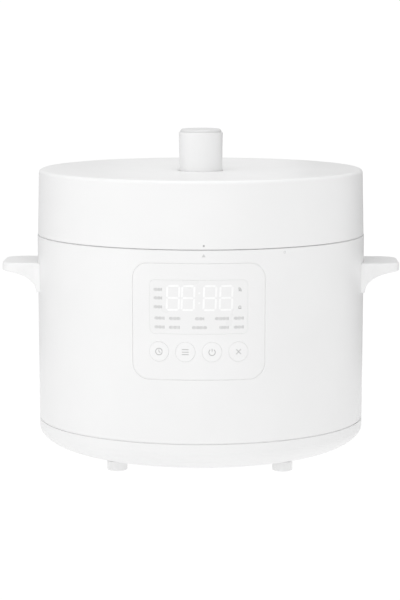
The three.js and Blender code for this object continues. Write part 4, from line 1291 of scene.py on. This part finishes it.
def vent_pipe():
    low, high = span("vent_pipe")
    bore, flange, pipe, flange_top = 1.6, 7, 4, low.z + 3.7
    turned("vent_pipe", [
        (bore, low.z, 0.3), (flange, low.z, 0.6), (flange, flange_top, 0.4), (pipe, flange_top),
        (pipe, high.z, 0.8), (bore, high.z, 0.3),
    ], SMALL_SIDES, VENT)


def valve_weight():
    low, high = span("valve_weight")
    bore, radius, bore_top = 4.6, 12, 230.4
    turned("valve_weight", [
        (0, bore_top), (bore, bore_top), (bore, low.z, 0.5), (radius, low.z, 0.8), (radius, high.z, 2.2),
        (0, high.z),
    ], SMALL_SIDES, VENT)


def anti_block_cap():
    """A strainer cup with slots all round."""
    low, high = span("anti_block_cap")
    radius, wall = 11, 1.2
    cup = lathe("cup", [
        (0, low.z), (radius, low.z, 1.6), (radius, high.z, 0.3), (radius - wall, high.z, 0.3),
        (radius - wall, low.z + wall, 1.0), (0, low.z + wall),
    ], SMALL_SIDES, VENT)
    slot = rectangle(20, -1.3, 1.3, 0.4)
    turns = [math.radians(45 * k) for k in range(4)]
    slots = [prism("slot", slot, low.z + 3, low.z + 8, flat_at(turn, 0, VENT)) for turn in turns]
    stand_in("anti_block_cap", carve(cup, *slots))


def float_valve():
    low, high = span("float_valve")
    foot_radius, rod, head, foot_top, head_z = 6, 3, 5, low.z + 2.5, high.z - 2
    turned("float_valve", [
        (0, low.z), (foot_radius, low.z, 0.8), (foot_radius, foot_top, 0.3), (rod, foot_top), (rod, head_z),
        (head, head_z, 0.3), (head, high.z, 0.6), (0, high.z),
    ], SMALL_SIDES, FLOAT)


def float_seal():
    low, high = span("float_seal")
    inner, outer = 3.4, 6
    turned("float_seal", [
        (inner, low.z, 0.3), (outer, low.z, 0.5), (outer, high.z, 0.5), (inner, high.z, 0.3),
    ], SMALL_SIDES, FLOAT)


# ---------------------------------------------------------------- assembly

outer_shell()
base_ring()
for name in FEET:
    foot(name)
bottom_cover()
for name in BASE_SCREWS:
    screw(name)
handle("handle_right", 1)
handle("handle_left", -1)
control_panel()
display_lens()
for name, along in zip(BUTTON_NAMES, BUTTON_ALONG):
    button(name, along)
for make in (digits, window_marks, button_marks, lock_marks, condensate_cup, cup_holder, power_inlet):
    make()
for name in INLET_PINS:
    inlet_pin(name)
for make in (outer_pot, rim_ring, heating_plate, sensor_cap, inner_pot, lid_cover, lid_knob,
             release_button, release_stem, pressure_lid, lid_liner):
    make()
for name in LID_SCREWS:
    screw(name)
for make in (sealing_ring, seal_carrier, vent_pipe, valve_weight, anti_block_cap, float_valve, float_seal):
    make()
for joint in record["behaviour"]["joints"]:
    for soft in joint.get("deforming_nodes", []):
        coil_spring(soft["node"])

# ---------------------------------------------------------------- camera and light

CAMERA_DISTANCE = 2.0187
CAMERA_HEIGHT = 0.4059
CAMERA_PITCH = math.radians(7.517)
CAMERA_AZIMUTH = math.radians(0.7)
CAMERA_HEADING = math.radians(0.72)


def camera():
    data = bpy.data.cameras.new("camera")
    data.lens = 136.62
    data.sensor_width = 36.0
    piece = added("camera", data)
    away = Vector((math.sin(CAMERA_AZIMUTH), -math.cos(CAMERA_AZIMUTH), 0.0))
    piece.location = away * CAMERA_DISTANCE + Vector((0, 0, CAMERA_HEIGHT))
    piece.rotation_euler = (math.pi / 2 - CAMERA_PITCH, 0.0, CAMERA_HEADING)
    bpy.context.scene.camera = piece


camera()


def floor():
    """A floor that runs up into a round wall far away. It gives off its own light, so that it stays white."""
    reach, bend, height = 9000, 900, 2500
    sweep = [*ellipse_arc((reach, bend), (bend, bend), -math.pi / 2, 0, 12), (reach + bend, height)]
    turns = [2 * math.pi * k / SMALL_SIDES for k in range(SMALL_SIDES)]
    points, rings, flanks = ringed([(r * math.cos(a), r * math.sin(a), z) for a in turns] for r, z in sweep)
    faces = [tuple(rings[0])] + [tuple(reversed(face)) for face in flanks]
    piece = new_piece("floor", points, faces)
    s = Surface("floor", Emission_Color=WHITE, Emission_Strength=0.97, Specular_IOR_Level=0.0)
    s.mottle(3.0, grey(0.07), grey(0.08))
    s.set("Roughness", s.spread(s.noise(40.0), 0.85, 0.95))
    s.bump(s.noise(300.0), 0.05, 0.2)
    piece.data.materials.append(s.material)


def world(level):
    made = bpy.data.worlds.new("studio")
    made.use_nodes = True
    made.node_tree.nodes["Background"].inputs["Color"].default_value = grey(1.0)
    made.node_tree.nodes["Background"].inputs["Strength"].default_value = level
    bpy.context.scene.world = made


def soft_light(name, place, target, size, power):
    data = bpy.data.lights.new(name, "AREA")
    data.shape = "RECTANGLE"
    data.size, data.size_y = size
    data.energy = power
    piece = added(name, data)
    piece.location = place
    piece.rotation_euler = (Vector(target) - Vector(place)).to_track_quat("-Z", "Y").to_euler()


def dark_card(name, azimuths, distance, heights, level):
    """An upright curved card of dark cloth out of the camera's sight, which draws the rims of white shapes.
    Azimuths are in degrees round the object, from the camera's side towards the right."""
    first, last = (math.radians(a) for a in azimuths)
    low, high = heights
    count = 24
    points = []
    for k in range(count + 1):
        a = first + (last - first) * k / count
        x, y = distance * math.sin(a), -distance * math.cos(a)
        points += [(x, y, low), (x, y, high)]
    faces = [(2 * k, 2 * k + 1, 2 * k + 3, 2 * k + 2) for k in range(count)]
    card = new_piece(name, points, faces)
    s = Surface(name)
    s.mottle(20.0, grey(level * 0.9), grey(level * 1.1))
    s.set("Roughness", s.spread(s.noise(90.0), 0.9, 1.0))
    s.bump(s.noise(400.0), 0.2, 0.3)
    card.data.materials.append(s.material)
    card.visible_camera = False


floor()
world(0.64)
dark_card("card_right", (112, 170), 600, (5, 420), 0.13)
dark_card("card_left", (-108, -170), 600, (5, 420), 0.5)
soft_light("overhead", (0, -0.2, 1.6), (0, 0, 0.15), (1.4, 1.4), 9.0)
soft_light("front_light", (0, -1.9, 1.0), (0, 0, 0.15), (1.6, 1.0), 4.6)
soft_light("key_light", (-1.35, -0.9, 0.7), (0, 0, 0.15), (1.2, 1.2), 3.4)

bpy.context.scene.view_settings.view_transform = "Standard"
